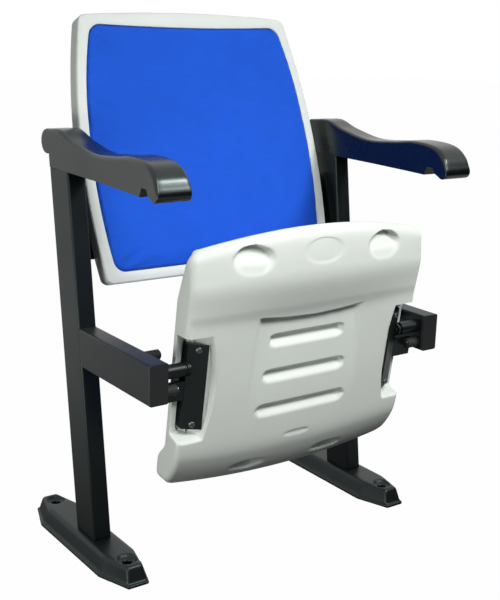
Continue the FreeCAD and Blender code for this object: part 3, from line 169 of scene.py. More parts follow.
@named
class SeatSizes(bpy.types.PropertyGroup):
    tilt: turn("Forward tilt of the raised seat", 7.6)
    half_front: length("Half width at the front corners", 217)
    half_rear: length("Half width at the rear corners", 216.5)
    front_corner: length("Front corners, ahead of the pivot", 174)
    front: length("Middle of the lip's edge, ahead of the pivot", 201)
    rear_corner: length("Rear corners, behind the pivot", 193)
    rear: length("Middle of the rear edge, behind the pivot", 208)
    corner: length("Corner rounding in plan, rear", 14)
    front_round: length("Corner rounding in plan, front", 17)
    step_at: length("Step between panel and lip, ahead of the pivot", 70)
    step: length("Height of that step", 7)
    step_bow: length("Bow of that step towards the rear in its middle", 6)
    lip_crown: length("Rise of the lip from its middle to its sides", 17)
    panel_crown: length("Rise of the panel from its middle to its sides", 4)
    flank: length("Rounding of the lower side edges", 9)
    rim: length("Top of the rim, above the pivot", 21)
    rear_rim: length("Top of the rear rim, above the pivot", 38)
    lip_edge: length("Top of the lip's edge, below the pivot", 5)
    tray_border: length("Rim beside the seat pad", 24)
    tray_front: length("Front of the pad's tray, ahead of the pivot", 140)
    tray_rear: length("Rear of the pad's tray, behind the pivot", 172)
    tray_floor: length("Floor of the pad's tray, above the pivot", 4)
    board: length("Board under the pad", 6)
    pad_edge: length("Upper edge of the pad, above the pivot", 33)
    pad_crown: length("Rise of the pad from its edge to its middle", 10)
    slot_first: length("Front louvre, ahead of the pivot", 28.5)
    slot_pitch: length("Louvre to louvre", 56)
    slot_height: length("Width of a louvre", 23)
    slot_depth: length("Depth of a louvre at its valley", 9.5)
    slot_wall: length("Wall inside a louvre's outline", 2)
    slot_half: length("Half length of the front louvre", 70)
    slot_growth: length("Growth of the half length from louvre to louvre", 6.5)
    dash_at: length("Short dash behind the louvres, behind the pivot", 135)
    dash_half: length("Half length of that dash", 21)
    dash_height: length("Half height of that dash", 6)
    dash_depth: length("Depth of that dash", 1.4)
    dash_wall: length("Wall inside that dash's outline", 1.5)
    grip_offset: length("Finger grips, from the middle", 122)
    grip_at: length("Finger grips, ahead of the pivot", 162)
    grip_half: length("Half width of a finger grip", 34)
    grip_height: length("Half height of a finger grip", 23)
    grip_depth: length("Depth of a finger grip", 13)
    grip_wall: length("Wall inside a finger grip's outline", 5)
    oval_half: length("Half width of the bare oval on the lip", 37)
    oval_height: length("Half height of the bare oval on the lip", 19)
    oval_at: length("Bare oval, ahead of the pivot", 168)
    oval_depth: length("Depth of the bare oval", 1.2)
    oval_wall: length("Wall inside the oval's outline", 2)
    thumb_offset: length("Rear thumb notches, from the middle", 78)
    thumb_at: length("Rear thumb notches, behind the pivot", 184)
    thumb_half: length("Half width of a thumb notch", 37)
    thumb_height: length("Half height of a thumb notch", 14)
    thumb_depth: length("Depth of a thumb notch", 16)
    thumb_wall: length("Wall inside a thumb notch's outline", 11)
    band_half: length("Half width of the shallow centre band at its step", 93)
    band_flare: length("Growth of that half width towards the rear", 14)
    band_end: length("Where the centre band runs out, behind the pivot", 105)
    pocket_inner: length("Inner side of the bracket pocket, from the middle", 176)
    pocket_bow: length("Bow of the pocket's inner side", 10)
    pocket_front: length("Front end of the pocket, ahead of the pivot", 52)
    pocket_rear: length("Rear end of the pocket, behind the pivot", 105)
    pocket_bevel: length("Slope at the rear end of the pocket", 8)
    pocket_floor: length("Land under the flange's inner edge, below the pivot", 11)
    pocket_wall: length("Land under the flange's outer edge, above the pivot", 9)
    slit_inner: length("Inner side of the slit for the bracket's wing, from the middle", 199.6)
    slit_outer: length("Outer side of that slit, from the middle", 206)
    flange_rise: length("Rise of the bracket's flange from its inner to its outer edge", 14)
    flange_drop: length("Middle of the flange's face, from the pivot", -7)
    screw_front: length("Front bracket screws, ahead of the pivot", 29)
    screw_rear: length("Rear bracket screws, behind the pivot", 89)
    slit_roof: length("Roof of that slit, above the pivot", 17)


@named
class ArmrestSizes(bpy.types.PropertyGroup):
    nose: length("Front of the rolled nose, ahead of the middle", 250)
    scroll: length("Rear tip, behind the middle", 121)
    crown_front: length("Top near the nose", 647)
    dip: length("Lowest part of the top", 637)
    crown_rear: length("Top over the post", 660)
    base: length("Underside, just over the post's top", 600.3)
    left_rear: length("Left side over the post, from the post's middle", 15)
    right_rear: length("Right side over the post, from the post's middle", 27)
    half_nose: length("Half width at the nose", 27)
    flare_from: length("Where the flare starts, ahead of the middle", 30)
    edge: length("Rounding of the top edges", 6)
    foot_edge: length("Rounding of the lower edges", 0.8)
    droop: length("Fall of the underside towards the notch", 4)


@named
class Finishes(bpy.types.PropertyGroup):
    shell: colour("Moulded polyethylene of the shells", "#E2E8E1")
    fabric: colour("Woven polyester of the pads", "#205DDB")
    paint: colour("Powder coat of the frame", "#0B0E0E")
    armrest: colour("Polyurethane of the armrests", "#0D1010")
    plastic: colour("Moulded caps", "#141617")
    zinc: colour("Zinc plate of the fasteners", "#7C8080")
    screw: colour("Black-oxide bracket screws", "#6A6E6E")
    spring: colour("Oiled spring wire", "#5A5753")
    nylon: colour("Pivot bushes", "#2A2B2B")
    rubber: colour("Stop buffers", "#161616")
    plywood: colour("Boards under the pads", "#C49A66")
    floor: colour("Plain floor, as it lights the object", "#333434")


@named
class StageSizes(bpy.types.PropertyGroup):
    camera: FloatVectorProperty(description="Place of the camera", unit="LENGTH",
                                default=(-0.983593, -1.420522, 0.825251))
    yaw: turn("Camera's turn to the right of straight ahead", 35.9221)
    pitch: turn("Camera's downward pitch", 14.57167)
    roll: turn("Camera's roll", 1.689577)
    focal: number("Focal length in pixels of the photograph's frame", 1071.568)
    key: power("Power of the softbox above the front", 2.2)
    far_side: power("Power of the softbox at the right", 32)
    low_left: power("Power of the softbox low at the left", 4.6)
    behind: power("Power of the softbox behind", 26)
    world: number("Strength of the surrounding light", 0.12)


@named
class StadiumSeat(bpy.types.PropertyGroup):
    back: PointerProperty(description="Sizes of the back and its pad", type=BackSizes)
    seat: PointerProperty(description="Sizes of the seat and its pad", type=SeatSizes)
    armrest: PointerProperty(description="Sizes of the armrests", type=ArmrestSizes)
    finish: PointerProperty(description="Colours of the materials", type=Finishes)
    stage: PointerProperty(description="Camera and light", type=StageSizes)


# Curves and surfaces


def smooth(low, high, x):
    """Rise from 0 at low to 1 at high along 3t² - 2t³."""
    t = np.clip((x - low) / (high - low), 0, 1)
    return t * t * (3 - 2 * t)


def arc(start, via, end, count):
    """Even points on the circle through three points, from start to end."""
    a, b, c = (np.array(point, float) for point in (start, via, end))
    ab, ac = b - a, c - a
    cross = 2 * (ab[0] * ac[1] - ab[1] * ac[0])
    offset = [ac[1] * (ab @ ab) - ab[1] * (ac @ ac), ab[0] * (ac @ ac) - ac[0] * (ab @ ab)]
    centre = a + np.array(offset) / cross
    first, middle, last = (math.atan2(*(point - centre)[::-1]) for point in (a, b, c))
    sweep = (last - first) % math.tau
    if (middle - first) % math.tau > sweep:
        sweep -= math.tau
    turns = first + np.linspace(0, sweep, count)
    return centre + np.linalg.norm(a - centre) * np.stack([np.cos(turns), np.sin(turns)], axis=1)


def chain(*runs):
    """Runs of points joined end to end, without the repeated joints."""
    return np.concatenate([runs[0]] + [run[1:] for run in runs[1:]])


def lengths(points):
    """Distance along a run of points."""
    return np.concatenate([[0], np.cumsum(np.linalg.norm(np.diff(points, axis=0), axis=1))])


def at_length(points, where):
    """Points at given distances along a run."""
    steps = lengths(points)
    return np.stack([np.interp(where, steps, points[:, axis]) for axis in range(points.shape[1])], axis=1)


def evened(points, count):
    """The same run with evenly spaced points."""
    return at_length(points, np.linspace(0, lengths(points)[-1], count))


def flowing(points, count):
    """Smooth run through a few points: a Catmull-Rom cubic between each pair, then evened."""
    p = np.array(points, float)
    p = np.concatenate([[2 * p[0] - p[1]], p, [2 * p[-1] - p[-2]]])
    t = np.linspace(0, 1, 40)[:, None]
    runs = [
        0.5 * (2 * b + (c - a) * t + (2 * a - 5 * b + 4 * c - d) * t ** 2
               + (3 * b - a - 3 * c + d) * t ** 3)
        for a, b, c, d in zip(p, p[1:], p[2:], p[3:])
    ]
    return evened(chain(*runs), count)


def rounded(first, second, radius, count):
    """Two runs that meet, each cut back by the radius, and the conic that rounds their corner."""
    corner = second[0]
    keep = lengths(first)[-1] - radius
    before = at_length(first, np.linspace(0, keep, len(first)))
    after = at_length(second, np.linspace(radius, lengths(second)[-1], len(second)))
    t = np.linspace(0, 1, count)[:, None]
    pull = math.sqrt(2) * t * (1 - t)
    bend = ((1 - t) ** 2 * before[-1] + pull * corner + t ** 2 * after[0]) / ((1 - t) ** 2 + pull + t ** 2)
    return before, bend, after


def outward(ring):
    """Unit normals of a closed ring that runs anticlockwise."""
    along = np.roll(ring, -1, axis=0) - np.roll(ring, 1, axis=0)
    normal = np.stack([along[:, 1], -along[:, 0]], axis=1)
    return normal / np.maximum(np.linalg.norm(normal, axis=1), 1e-9)[:, None]


def grid_faces(rows, columns, closed=False, start=0):
    """Quads of a grid of points stored row by row, wrapped round its columns where it is closed."""
    index = start + np.arange(rows * columns).reshape(rows, columns)
    if closed:
        index = np.concatenate([index, index[:, :1]], axis=1)
    quads = [index[:-1, :-1], index[:-1, 1:], index[1:, 1:], index[1:, :-1]]
    return np.stack(quads, axis=-1).reshape(-1, 4)


def quarter(count):
    """Sine and cosine over a quarter turn."""
    turns = np.linspace(0, math.pi / 2, count)
    return np.stack([np.sin(turns), np.cos(turns)], axis=1)


def new_piece(name, patches, material, body, sharp=40):
    """One object from patches of (points, closed): points is rows x columns x 3, in metres. Doubles
    are merged, normals turned outwards, and edges sharper than the given degrees stay sharp."""
    points, faces, start = [], [], 0
    for grid, closed in patches:
        rows, columns = grid.shape[:2]
        points.append(grid.reshape(-1, 3))
        faces.append(grid_faces(rows, columns, closed, start))
        start += rows * columns
    mesh = bpy.data.meshes.new(name)
    mesh.from_pydata(np.concatenate(points).tolist(), [], np.concatenate(faces).tolist())
    shape = bmesh.new()
    shape.from_mesh(mesh)
    bmesh.ops.remove_doubles(shape, verts=shape.verts, dist=0.02 * MM)
    bmesh.ops.dissolve_degenerate(shape, edges=shape.edges, dist=0.005 * MM)
    bmesh.ops.recalc_face_normals(shape, faces=shape.faces)
    shape.to_mesh(mesh)
    shape.free()
    mesh.shade_smooth()
    mesh.set_sharp_from_angle(angle=math.radians(sharp))
    piece = bpy.data.objects.new(name, mesh)
    bpy.context.scene.collection.objects.link(piece)
    mesh.materials.append(material)
    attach(piece, body)
    return piece


# Materials


def add(tree, kind, inputs=(), **own):
    """Add one node: own holds its settings, inputs its sockets with a value or another node's output."""
    node = tree.nodes.new(kind)
    for name, value in own.items():
        setattr(node, name, value)
    for name, value in dict(inputs).items():
        if isinstance(value, bpy.types.NodeSocket):
            tree.links.new(value, node.inputs[name])
        else:
            node.inputs[name].default_value = value
    return node


def empty_tree(owner):
    """The cleared node tree of a material or a world."""
    owner.use_nodes = True
    owner.node_tree.nodes.clear()
    return owner.node_tree


def fresh_material(name):
    """A material by its name, and its cleared node tree."""
    material = bpy.data.materials.get(name) or bpy.data.materials.new(name)
    return material, empty_tree(material)


def shaded(tree, base, mask, tones, sockets, height, bump):
    """Finish a material: its colour runs between two tones of the base along a mask, and a height, if
    there is one, stands out by a bump's depth in millimetres and strength."""
    ramp = add(tree, "ShaderNodeValToRGB", {"Fac": mask})
    for element, tone in zip(ramp.color_ramp.elements, tones):
        element.color = (*(channel * tone for channel in base[:3]), 1)
    inputs = {**sockets, "Base Color": ramp.outputs["Color"]}
    if height is not None:
        depth, strength = bump
        relief = {"Height": height, "Distance": depth * MM, "Strength": strength}
        inputs["Normal"] = add(tree, "ShaderNodeBump", relief).outputs["Normal"]
    shader = add(tree, "ShaderNodeBsdfPrincipled", inputs)
    add(tree, "ShaderNodeOutputMaterial", {"Surface": shader.outputs["BSDF"]})


# Skins: the colour in Finishes; a cloud of noise as (blob in millimetres, detail, roughness), the tones
# and the roughness that run along it; grain, its bump as (depth in millimetres, strength); other sockets.
SKINS = {
    # Blow-moulded polyethylene: the mould's blasted grain leaves a dull, faintly pebbled skin.
    "moulded_polyethylene": (
        "shell", (60, 3, 0.5), (0.96, 1.03), (0.42, 0.6), (2.6, 3, 0.6), (0.35, 0.5),
        {"IOR": 1.5, "Specular IOR Level": 0.4}),
    # Satin polyester powder coat on steel: black, slightly uneven as it flowed in the oven.
    "satin_powder_coat": (
        "paint", (70, 4, 0.5), (0.85, 1.2), (0.34, 0.46), (2.4, 2, 0.5), (0.12, 0.5),
        {"IOR": 1.5, "Specular IOR Level": 0.36, "Specular Tint": (0.82, 1, 0.98, 1)}),
    # Self-skinned black polyurethane: a smooth skin with the mould's soft sheen, duller where handled.
    "cast_polyurethane": (
        "armrest", (35, 4, 0.5), (0.85, 1.2), (0.22, 0.34), (1.8, 2, 0.5), (0.05, 0.4),
        {"IOR": 1.5, "Specular IOR Level": 0.5, "Specular Tint": (0.85, 1, 0.98, 1)}),
    # Injection-moulded black plastic: fine spark-eroded grain, half dull.
    "moulded_black_plastic": (
        "plastic", (1.6, 2, 0.5), (0.85, 1.2), (0.45, 0.6), (1.6, 2, 0.5), (0.1, 0.5), {"IOR": 1.5}),
    # Bright zinc plate on steel: metallic, with cloudy grey patches left by the bath.
    "zinc_plate": ("zinc", (5, 4, 0.5), (0.55, 1.15), (0.28, 0.5), None, None, {"Metallic": 1.0}),
    # Black-oxide steel screws: dark, with a metal's small hard glints.
    "blackened_steel": ("screw", (2, 3, 0.5), (0.6, 1.4), (0.25, 0.4), None, None, {"Metallic": 1.0}),
    # Oil-tempered spring wire: dark metal, unevenly stained.
    "spring_wire": ("spring", (3, 3, 0.5), (0.7, 1.2), (0.3, 0.5), None, None, {"Metallic": 1.0}),
    # Turned black nylon: waxy, with a fine unevenness from the tool.
    "turned_nylon": ("nylon", (1.2, 2, 0.5), (0.92, 1.04), (0.35, 0.5), None, None, {"IOR": 1.53}),
    # Moulded rubber: dull black with a dusty bloom.
    "moulded_rubber": ("rubber", (4, 4, 0.5), (0.8, 1.6), (0.65, 0.85), None, None, {"IOR": 1.52}),
    # Birch plywood: pale veneer with long brown grain streaks across the board.
    "birch_plywood": (
        "plywood", (4, 5, 0.65), (0.6, 1.15), (0.55, 0.75), (4, 5, 0.65), (0.1, 0.6), {"IOR": 1.5}),
}
DRAWN_OUT = {"birch_plywood": (0.08, 1, 1)}
GRAIN_DULLS = ("moulded_polyethylene",)


def mottled(name):
    """The material of a skin: noise for its cloud and its grain, and a roughness along one of them."""
    colour_name, cloud, tones, rough, grain, bump, sockets = SKINS[name]
    material, tree = fresh_material(name)
    place = add(tree, "ShaderNodeTexCoord").outputs["Object"]
    if name in DRAWN_OUT:
        inputs = {"Vector": place, "Scale": DRAWN_OUT[name]}
        place = add(tree, "ShaderNodeMapping", inputs).outputs["Vector"]
    masks = []
    for size, detail, roughness in filter(None, (cloud, grain)):
        inputs = {"Vector": place, "Scale": 1 / (size * MM), "Detail": detail, "Roughness": roughness}
        masks.append(add(tree, "ShaderNodeTexNoise", inputs).outputs["Fac"])
    inputs = {"Value": masks[name in GRAIN_DULLS], "To Min": rough[0], "To Max": rough[1]}
    sockets = {**sockets, "Roughness": add(tree, "ShaderNodeMapRange", inputs).outputs["Result"]}
    height = masks[1] if grain else None
    shaded(tree, getattr(settings().finish, colour_name), masks[0], tones, sockets, height, bump)
    return material


def woven_polyester(base, tilt):
    """Plain-woven polyester over foam: matt, threads one over one, a little napped. Real threads are
    under 1 mm apart; they are drawn 2.6 mm apart so that the weave shows."""
    pitch = 2.6 * MM
    material, tree = fresh_material(f"woven_polyester_{round(math.degrees(tilt))}")
    place = add(tree, "ShaderNodeTexCoord").outputs["Object"]
    flat = add(tree, "ShaderNodeMapping", {"Vector": place, "Rotation": (tilt, 0, 0)}).outputs["Vector"]
    drawn = add(tree, "ShaderNodeMapping", {"Vector": flat, "Scale": (0.25, 1, 1)}).outputs["Vector"]
    band = {"Vector": flat, "Scale": math.pi / (10 * pitch), "Distortion": 0.4, "Detail": 1.0,
            "Detail Scale": 0.6}
    warp, weft = (
        add(tree, "ShaderNodeTexWave", band, wave_type="BANDS", bands_direction=direction).outputs["Fac"]
        for direction in "XZ"
    )
    over = add(tree, "ShaderNodeTexChecker", {"Vector": flat, "Scale": 1 / pitch}).outputs["Fac"]
    crossed = {"Factor": over, "A": warp, "B": weft}
    weave = add(tree, "ShaderNodeMix", crossed, data_type="FLOAT").outputs["Result"]
    cloud, slub = (
        add(tree, "ShaderNodeTexNoise", {"Vector": vector, "Scale": 1 / (size * MM), "Detail": detail,
                                         "Roughness": 0.5}).outputs["Fac"]
        for vector, size, detail in ((place, 45, 4), (drawn, 5, 3))
    )
    mask = 0.0
    for layer, low, high in ((cloud, 0.0, 0.45), (slub, 0.0, 0.4), (weave, -0.05, 0.2)):
        part = add(tree, "ShaderNodeMapRange", {"Value": layer, "To Min": low, "To Max": high})
        both = {0: mask, 1: part.outputs["Result"]}
        mask = add(tree, "ShaderNodeMath", both, operation="ADD", use_clamp=True).outputs["Value"]
    sockets = {"Roughness": 0.85, "IOR": 1.45, "Specular IOR Level": 0.15, "Sheen Weight": 0.06,
               "Sheen Roughness": 0.5, "Sheen Tint": (0.35, 0.5, 1.0, 1.0)}
    shaded(tree, base, mask, (0.82, 1.14), sockets, weave, (0.35, 0.35))
    return material


def paint_nodes(skin, names):
    """Give CAD nodes the material of a skin."""
    material = mottled(skin)
    for name in names:
        mesh = frame["nodes"][name].data
        mesh.materials.clear()
        mesh.materials.append(material)


def eased(names, width):
    """Round the edges of CAD nodes a little, as rolled tube has them."""
    for name in names:
        node = frame["nodes"][name]
        node.modifiers.new("weld", "WELD").merge_threshold = 0.01 * MM
        bevel = node.modifiers.new("edges", "BEVEL")
        bevel.width = width
        bevel.segments = 3
        bevel.limit_method = "ANGLE"
        bevel.angle_limit = math.radians(35)
        bevel.use_clamp_overlap = False
        bevel.harden_normals = True


def softened(names):
    """Round the edges of pressed CAD nodes: an even mesh of 1.6 mm, then a smoothing of it."""
    for name in names:
        node = frame["nodes"][name]
        even = node.modifiers.new("even_mesh", "REMESH")
        even.mode = "VOXEL"
        even.voxel_size = 1.6 * MM
        even.use_smooth_shade = True
        soft = node.modifiers.new("soft_edges", "SMOOTH")
        soft.factor = 0.5
        soft.iterations = 12


def on_both_sides(*names):
    """Names of the left and right nodes."""
    return [f"{side}_{name}" for side in SIDES for name in names]


# Back


def from_back(back, x, y, rise):
    """Back's own axes to the shared frame: x across, y rearwards from the rim, rise along the slope."""
    sine, cosine = math.sin(back.recline), math.cos(back.recline)
    rise = rise + 0 * x
    y = y + 0 * x
    height = back.bottom + rise * cosine - y * sine
    return np.stack([x, back.front + rise * sine + y * cosine, height], axis=-1)


def back_outline(back, inset, top_inset, bow, corner):
    """Closed outline of the back, seen from the front: a straight foot, sides of two arcs that meet at
    the shoulder, and a bowed top, drawn in by the insets, its corners rounded."""
    low, wide, shoulder, top = (half - inset for half in (
        back.half_low, back.half_wide, back.half_shoulder, back.half_top))
    crest = back.height - top_inset
    middle = (back.shoulder_at + back.height) / 2
    side = (shoulder + top) / 2 + back.side_bow
    foot = np.linspace((0, inset), (low, inset), 48)
    flank = chain(
        arc((low, inset), (wide, back.wide_at), (shoulder, back.shoulder_at), 70),
        arc((shoulder, back.shoulder_at), (side, middle), (top, crest - bow), 70),
    )
    head = arc((top, crest - bow), (0, crest), (-top, crest - bow), 95)[:48]
    foot, low_bend, flank = rounded(foot, evened(flank, 120), corner, 12)
    flank, high_bend, head = rounded(flank, head, corner, 12)
    half = chain(foot, low_bend, flank, high_bend, head)
    return np.concatenate([half, half[-2:0:-1] * (-1, 1)])


def towards(ring, centre, share):
    """The ring drawn towards a point: 1 leaves it, 0 gathers it in the point."""
    return centre + (ring - centre) * share


def back_shell_rings(back):
    """Cross-section carried round the back's outline: from the middle of the tray up its wall, over the
    lip and the dished rim, round the front edge, along the drafted side, round the rear edge and in to
    the sunk panel, down its slope."""
    outer = back_outline(back, 0, 0, back.top_bow, back.corner)
    tray = back_outline(back, back.rim, back.rim_top, -back.pad_sag, back.pad_corner)
    border = back.panel_border
    panel = back_outline(back, border, border, back.top_bow, back.corner)
    centre = np.array([0, back.height / 2])
    side, inner = outward(outer), outward(tray)
    lip, dish, draft, slope = 1.2 * MM, 0.6 * MM, 1 * MM, 4 * MM
    rings = [(towards(tray, centre, share), back.tray) for share in (0, 0.3, 0.6, 0.9, 1)]
    rings += [(tray + inner * lip * (1 - cosine), lip * (1 - sine)) for sine, cosine in quarter(5)]
    front = outer - side * back.edge
    brim = tray + inner * lip
    rings += [(brim + (front - tray - inner * lip) * share, -dish * math.sin(math.pi * share))
              for share in (0.2, 0.4, 0.6, 0.8)]
    rings += [(front + side * back.edge * sine, back.edge * (1 - cosine)) for sine, cosine in quarter(8)]
    rear = outer - side * draft
    turn_in = rear - side * back.rear_edge
    rings += [(rear + side * back.rear_edge * (cosine - 1), back.depth - back.rear_edge * (1 - sine))
              for sine, cosine in quarter(9)]
    rings += [(turn_in + (panel - turn_in) * share, back.depth) for share in (0.5, 0.95)]
    inset = outward(panel)
    rings += [(panel - inset * slope * share, back.depth - back.panel_depth * float(smooth(0, 1, share)))
              for share in (0, 0.25, 0.5, 0.75, 1)]
    sunk = back.depth - back.panel_depth
    rings += [(towards(panel - inset * slope, centre, share), sunk) for share in (0.9, 0.6, 0.3, 0)]
    return np.stack([from_back(back, ring[:, 0], depth, ring[:, 1]) for ring, depth in rings])


def pad_rings(outline, centre, base, edge, crown, radius):
    """Closed pad on an outline: a flat base, an upright side, a rounded edge and a crowned face that
    rises by crown * (1 - share squared). Gives rings of (outline, height)."""
    inward = outward(outline)
    rings = [(towards(outline, centre, share), base) for share in (0, 0.25, 0.5, 0.75, 0.97, 1)]
    rings += [(outline, base + (edge - radius - base) * share) for share in (0.5, 1)]
    rings += [(outline - inward * radius * (1 - cosine), edge - radius * (1 - sine))
              for sine, cosine in quarter(7)[1:]]
    face = outline - inward * radius
    rings += [(towards(face, centre, share), edge + crown * (1 - share ** 2))
              for share in np.linspace(0.96, 0, 14)]
    return rings


# Cloth of the pads: width of its even mesh in metres, frames that it moves, and the pressure inside.
CLOTH_MESH = 5 * MM
CLOTH_FRAMES = 20
CLOTH_PRESSURE = 4


def puffed(piece, held, cap):
    """Swell a pad like cloth under pressure: voxel remesh, some frames of Cloth with the held points
    pinned, no point moving further than the cap, then one subdivision."""
    scene = bpy.context.scene
    mesh = piece.data
    remesh = piece.modifiers.new("even_mesh", "REMESH")
    remesh.mode = "VOXEL"
    remesh.voxel_size = CLOTH_MESH
    remesh.use_smooth_shade = True
    graph = bpy.context.evaluated_depsgraph_get()
    even = bpy.data.meshes.new_from_object(piece.evaluated_get(graph))
    piece.modifiers.clear()
    even.materials.clear()
    for material in mesh.materials:
        even.materials.append(material)
    piece.data = even
    rest = np.zeros(len(even.vertices) * 3)
    even.vertices.foreach_get("co", rest)
    rest = rest.reshape(-1, 3)
    pinned = piece.vertex_groups.new(name="pinned")
    pinned.add(np.flatnonzero(held(rest)).tolist(), 1.0, "REPLACE")
    cloth = piece.modifiers.new("cloth", "CLOTH")
    cloth.settings.use_pressure = True
    cloth.settings.uniform_pressure_force = CLOTH_PRESSURE
    cloth.settings.effector_weights.gravity = 0
    cloth.settings.vertex_group_mass = "pinned"
    cloth.settings.quality = 5
    for step in range(1, CLOTH_FRAMES + 1):
        scene.frame_set(step)
    graph = bpy.context.evaluated_depsgraph_get()
    swollen = bpy.data.meshes.new_from_object(piece.evaluated_get(graph))
    moved = np.zeros(len(swollen.vertices) * 3)
    swollen.vertices.foreach_get("co", moved)
    shift = moved.reshape(-1, 3) - rest
    far = np.linalg.norm(shift, axis=1)[:, None]
    rest = rest + shift * np.minimum(1, cap / np.maximum(far, 1e-9))
    piece.modifiers.clear()
    piece.vertex_groups.clear()
    scene.frame_set(1)
    bpy.data.meshes.remove(swollen)
    even.vertices.foreach_set("co", rest.ravel())
    even.update()
    even.shade_smooth()
    subdivision = piece.modifiers.new("finish", "SUBSURF")
    subdivision.levels = 1
    subdivision.render_levels = 1


# Seat


def from_seat(seat, x, v, u):
    """Seat's own axes to the shared frame: x across, v up from the pivot in use, u forwards in use."""
    sine, cosine = math.sin(seat.tilt), math.cos(seat.tilt)
    across = x + PIVOT[0] + 0 * u
    return np.stack([across, PIVOT[1] + v * cosine - u * sine, PIVOT[2] + v * sine + u * cosine], axis=-1)


def crowded(low, high, count, places, width):
    """Positions from low to high that lie closer together near some places: the inverse of the running
    sum of 1 + 4 exp(-((x - place) / width) squared)."""
    even = np.linspace(low, high, 4000)
    near = [np.exp(-((even - place) / width) ** 2) for place in places]
    total = np.cumsum(1 + 4 * np.sum(near, axis=0))
    return np.interp(np.linspace(total[0], total[-1], count), total, even)


# Points of the seat's underside from rear to front, and from its middle to a flank.
SEAT_ROWS = 300
SEAT_COLUMNS = 98


def seat_profile(seat):
    """Underside in the seat's middle plane, centre band left out, as (v, u) points from the rear edge
    to the lip's end: a turned-up tail, the flat panel, the lip's belly and its rolled end. Points lie
    closer together where louvres, step and pockets have their edges."""
    points = [(10, -208), (-2.5, -191), (-14, -166), (-20.5, -140), (-22, -95), (-22.5, -40), (-22, 20),
              (-23, 62), (-30, 90), (-36, 118), (-37, 136), (-34.5, 154), (-31, 171), (-26.5, 187),
              (-21, 196), (-13, 201)]
    run = flowing(np.array(points) * MM, 2000)
    rows = seat.slot_first + seat.slot_height / 2 - seat.slot_pitch * np.arange(3)
    edges = [*rows, seat.step_at, seat.pocket_front, -seat.pocket_rear, -seat.dash_at,
             seat.grip_at + seat.grip_height, seat.thumb_height - seat.thumb_at,
             -seat.thumb_at - 10 * MM]
    where = np.interp(edges, run[:, 1], lengths(run))
    return at_length(run, crowded(0, lengths(run)[-1], SEAT_ROWS, where, 3.5 * MM))


def louvre(edge, across, half, depth, wall):
    """Hollow with a sharp front edge: a steep wall just inside its outline that rounds into the valley
    near its middle, then a floor that bends out to its rear side."""
    share = np.clip((half - across) / (2 * half), 0, 1)
    fall, rise = smooth(-0.15, 0.5, share), 1 - smooth(0.42, 1.12, share)
    return depth * smooth(0, wall, edge) * fall * rise


def scoop(edge, across, half, depth, wall):
    """Finger hollow: a steep wall just inside its outline, deep in its front half, then a bend and a
    shallow slope that runs out to its rear side."""
    floor = 0.6 * smooth(-0.4 * half, 0.7 * half, across) + 0.4 * np.clip(across / half + 1, 0, 1)
    return depth * smooth(0, wall, edge) * floor


def oval_edge(x, u, half_x, half_u):
    """Distance inside an oval's edge, measured along its short half axis."""
    return half_u * (1 - np.sqrt((x / half_x) ** 2 + (u / half_u) ** 2))


def bar_edge(x, u, half_x, half_u):
    """Distance inside a bar with round ends."""
    return half_u - np.hypot(np.maximum(np.abs(x) - half_x + half_u, 0), u)


def seat_marks(seat, x, u):
    """Hollows pressed into the underside, as a depth at each point: the louvres, a short dash, the
    finger grips, the bare oval, the thumb notches and the centre band, deepest at its front step."""
    side = np.abs(x)
    depth = np.zeros_like(x)
    tall = seat.slot_height / 2
    for row in range(3):
        across = u - (seat.slot_first - row * seat.slot_pitch)
        edge = bar_edge(x, across, seat.slot_half + row * seat.slot_growth, tall)
        depth += louvre(edge, across, tall, seat.slot_depth, seat.slot_wall)
    across = u + seat.dash_at
    edge = bar_edge(x, across, seat.dash_half, seat.dash_height)
    depth += louvre(edge, across, seat.dash_height, seat.dash_depth, seat.dash_wall)
    across = u - seat.grip_at
    edge = oval_edge(side - seat.grip_offset, across, seat.grip_half, seat.grip_height)
    depth += scoop(edge, across, seat.grip_height, seat.grip_depth, seat.grip_wall)
    edge = oval_edge(x, u - seat.oval_at, seat.oval_half, seat.oval_height)
    depth += seat.oval_depth * smooth(0, seat.oval_wall, edge)
    across = u + seat.thumb_at
    edge = oval_edge(side - seat.thumb_offset, across, seat.thumb_half, seat.thumb_height)
    depth += scoop(edge, across, seat.thumb_height, seat.thumb_depth, seat.thumb_wall)
    edge = seat.step_at - seat.step_bow * (1 - np.minimum(side / seat.band_half, 1) ** 2)
    wide = seat.band_half + seat.band_flare * (seat.step_at - u) / (seat.step_at + seat.band_end)
    band = 1 - smooth(wide - 3 * MM, wide + 4 * MM, side)
    fall = np.clip((u + seat.band_end) / (seat.step_at + seat.band_end), 0, 1) ** 1.5
    bend = 1.2 * MM
    return depth + seat.step * band * fall * (1 - smooth(edge - bend, edge + bend, u))


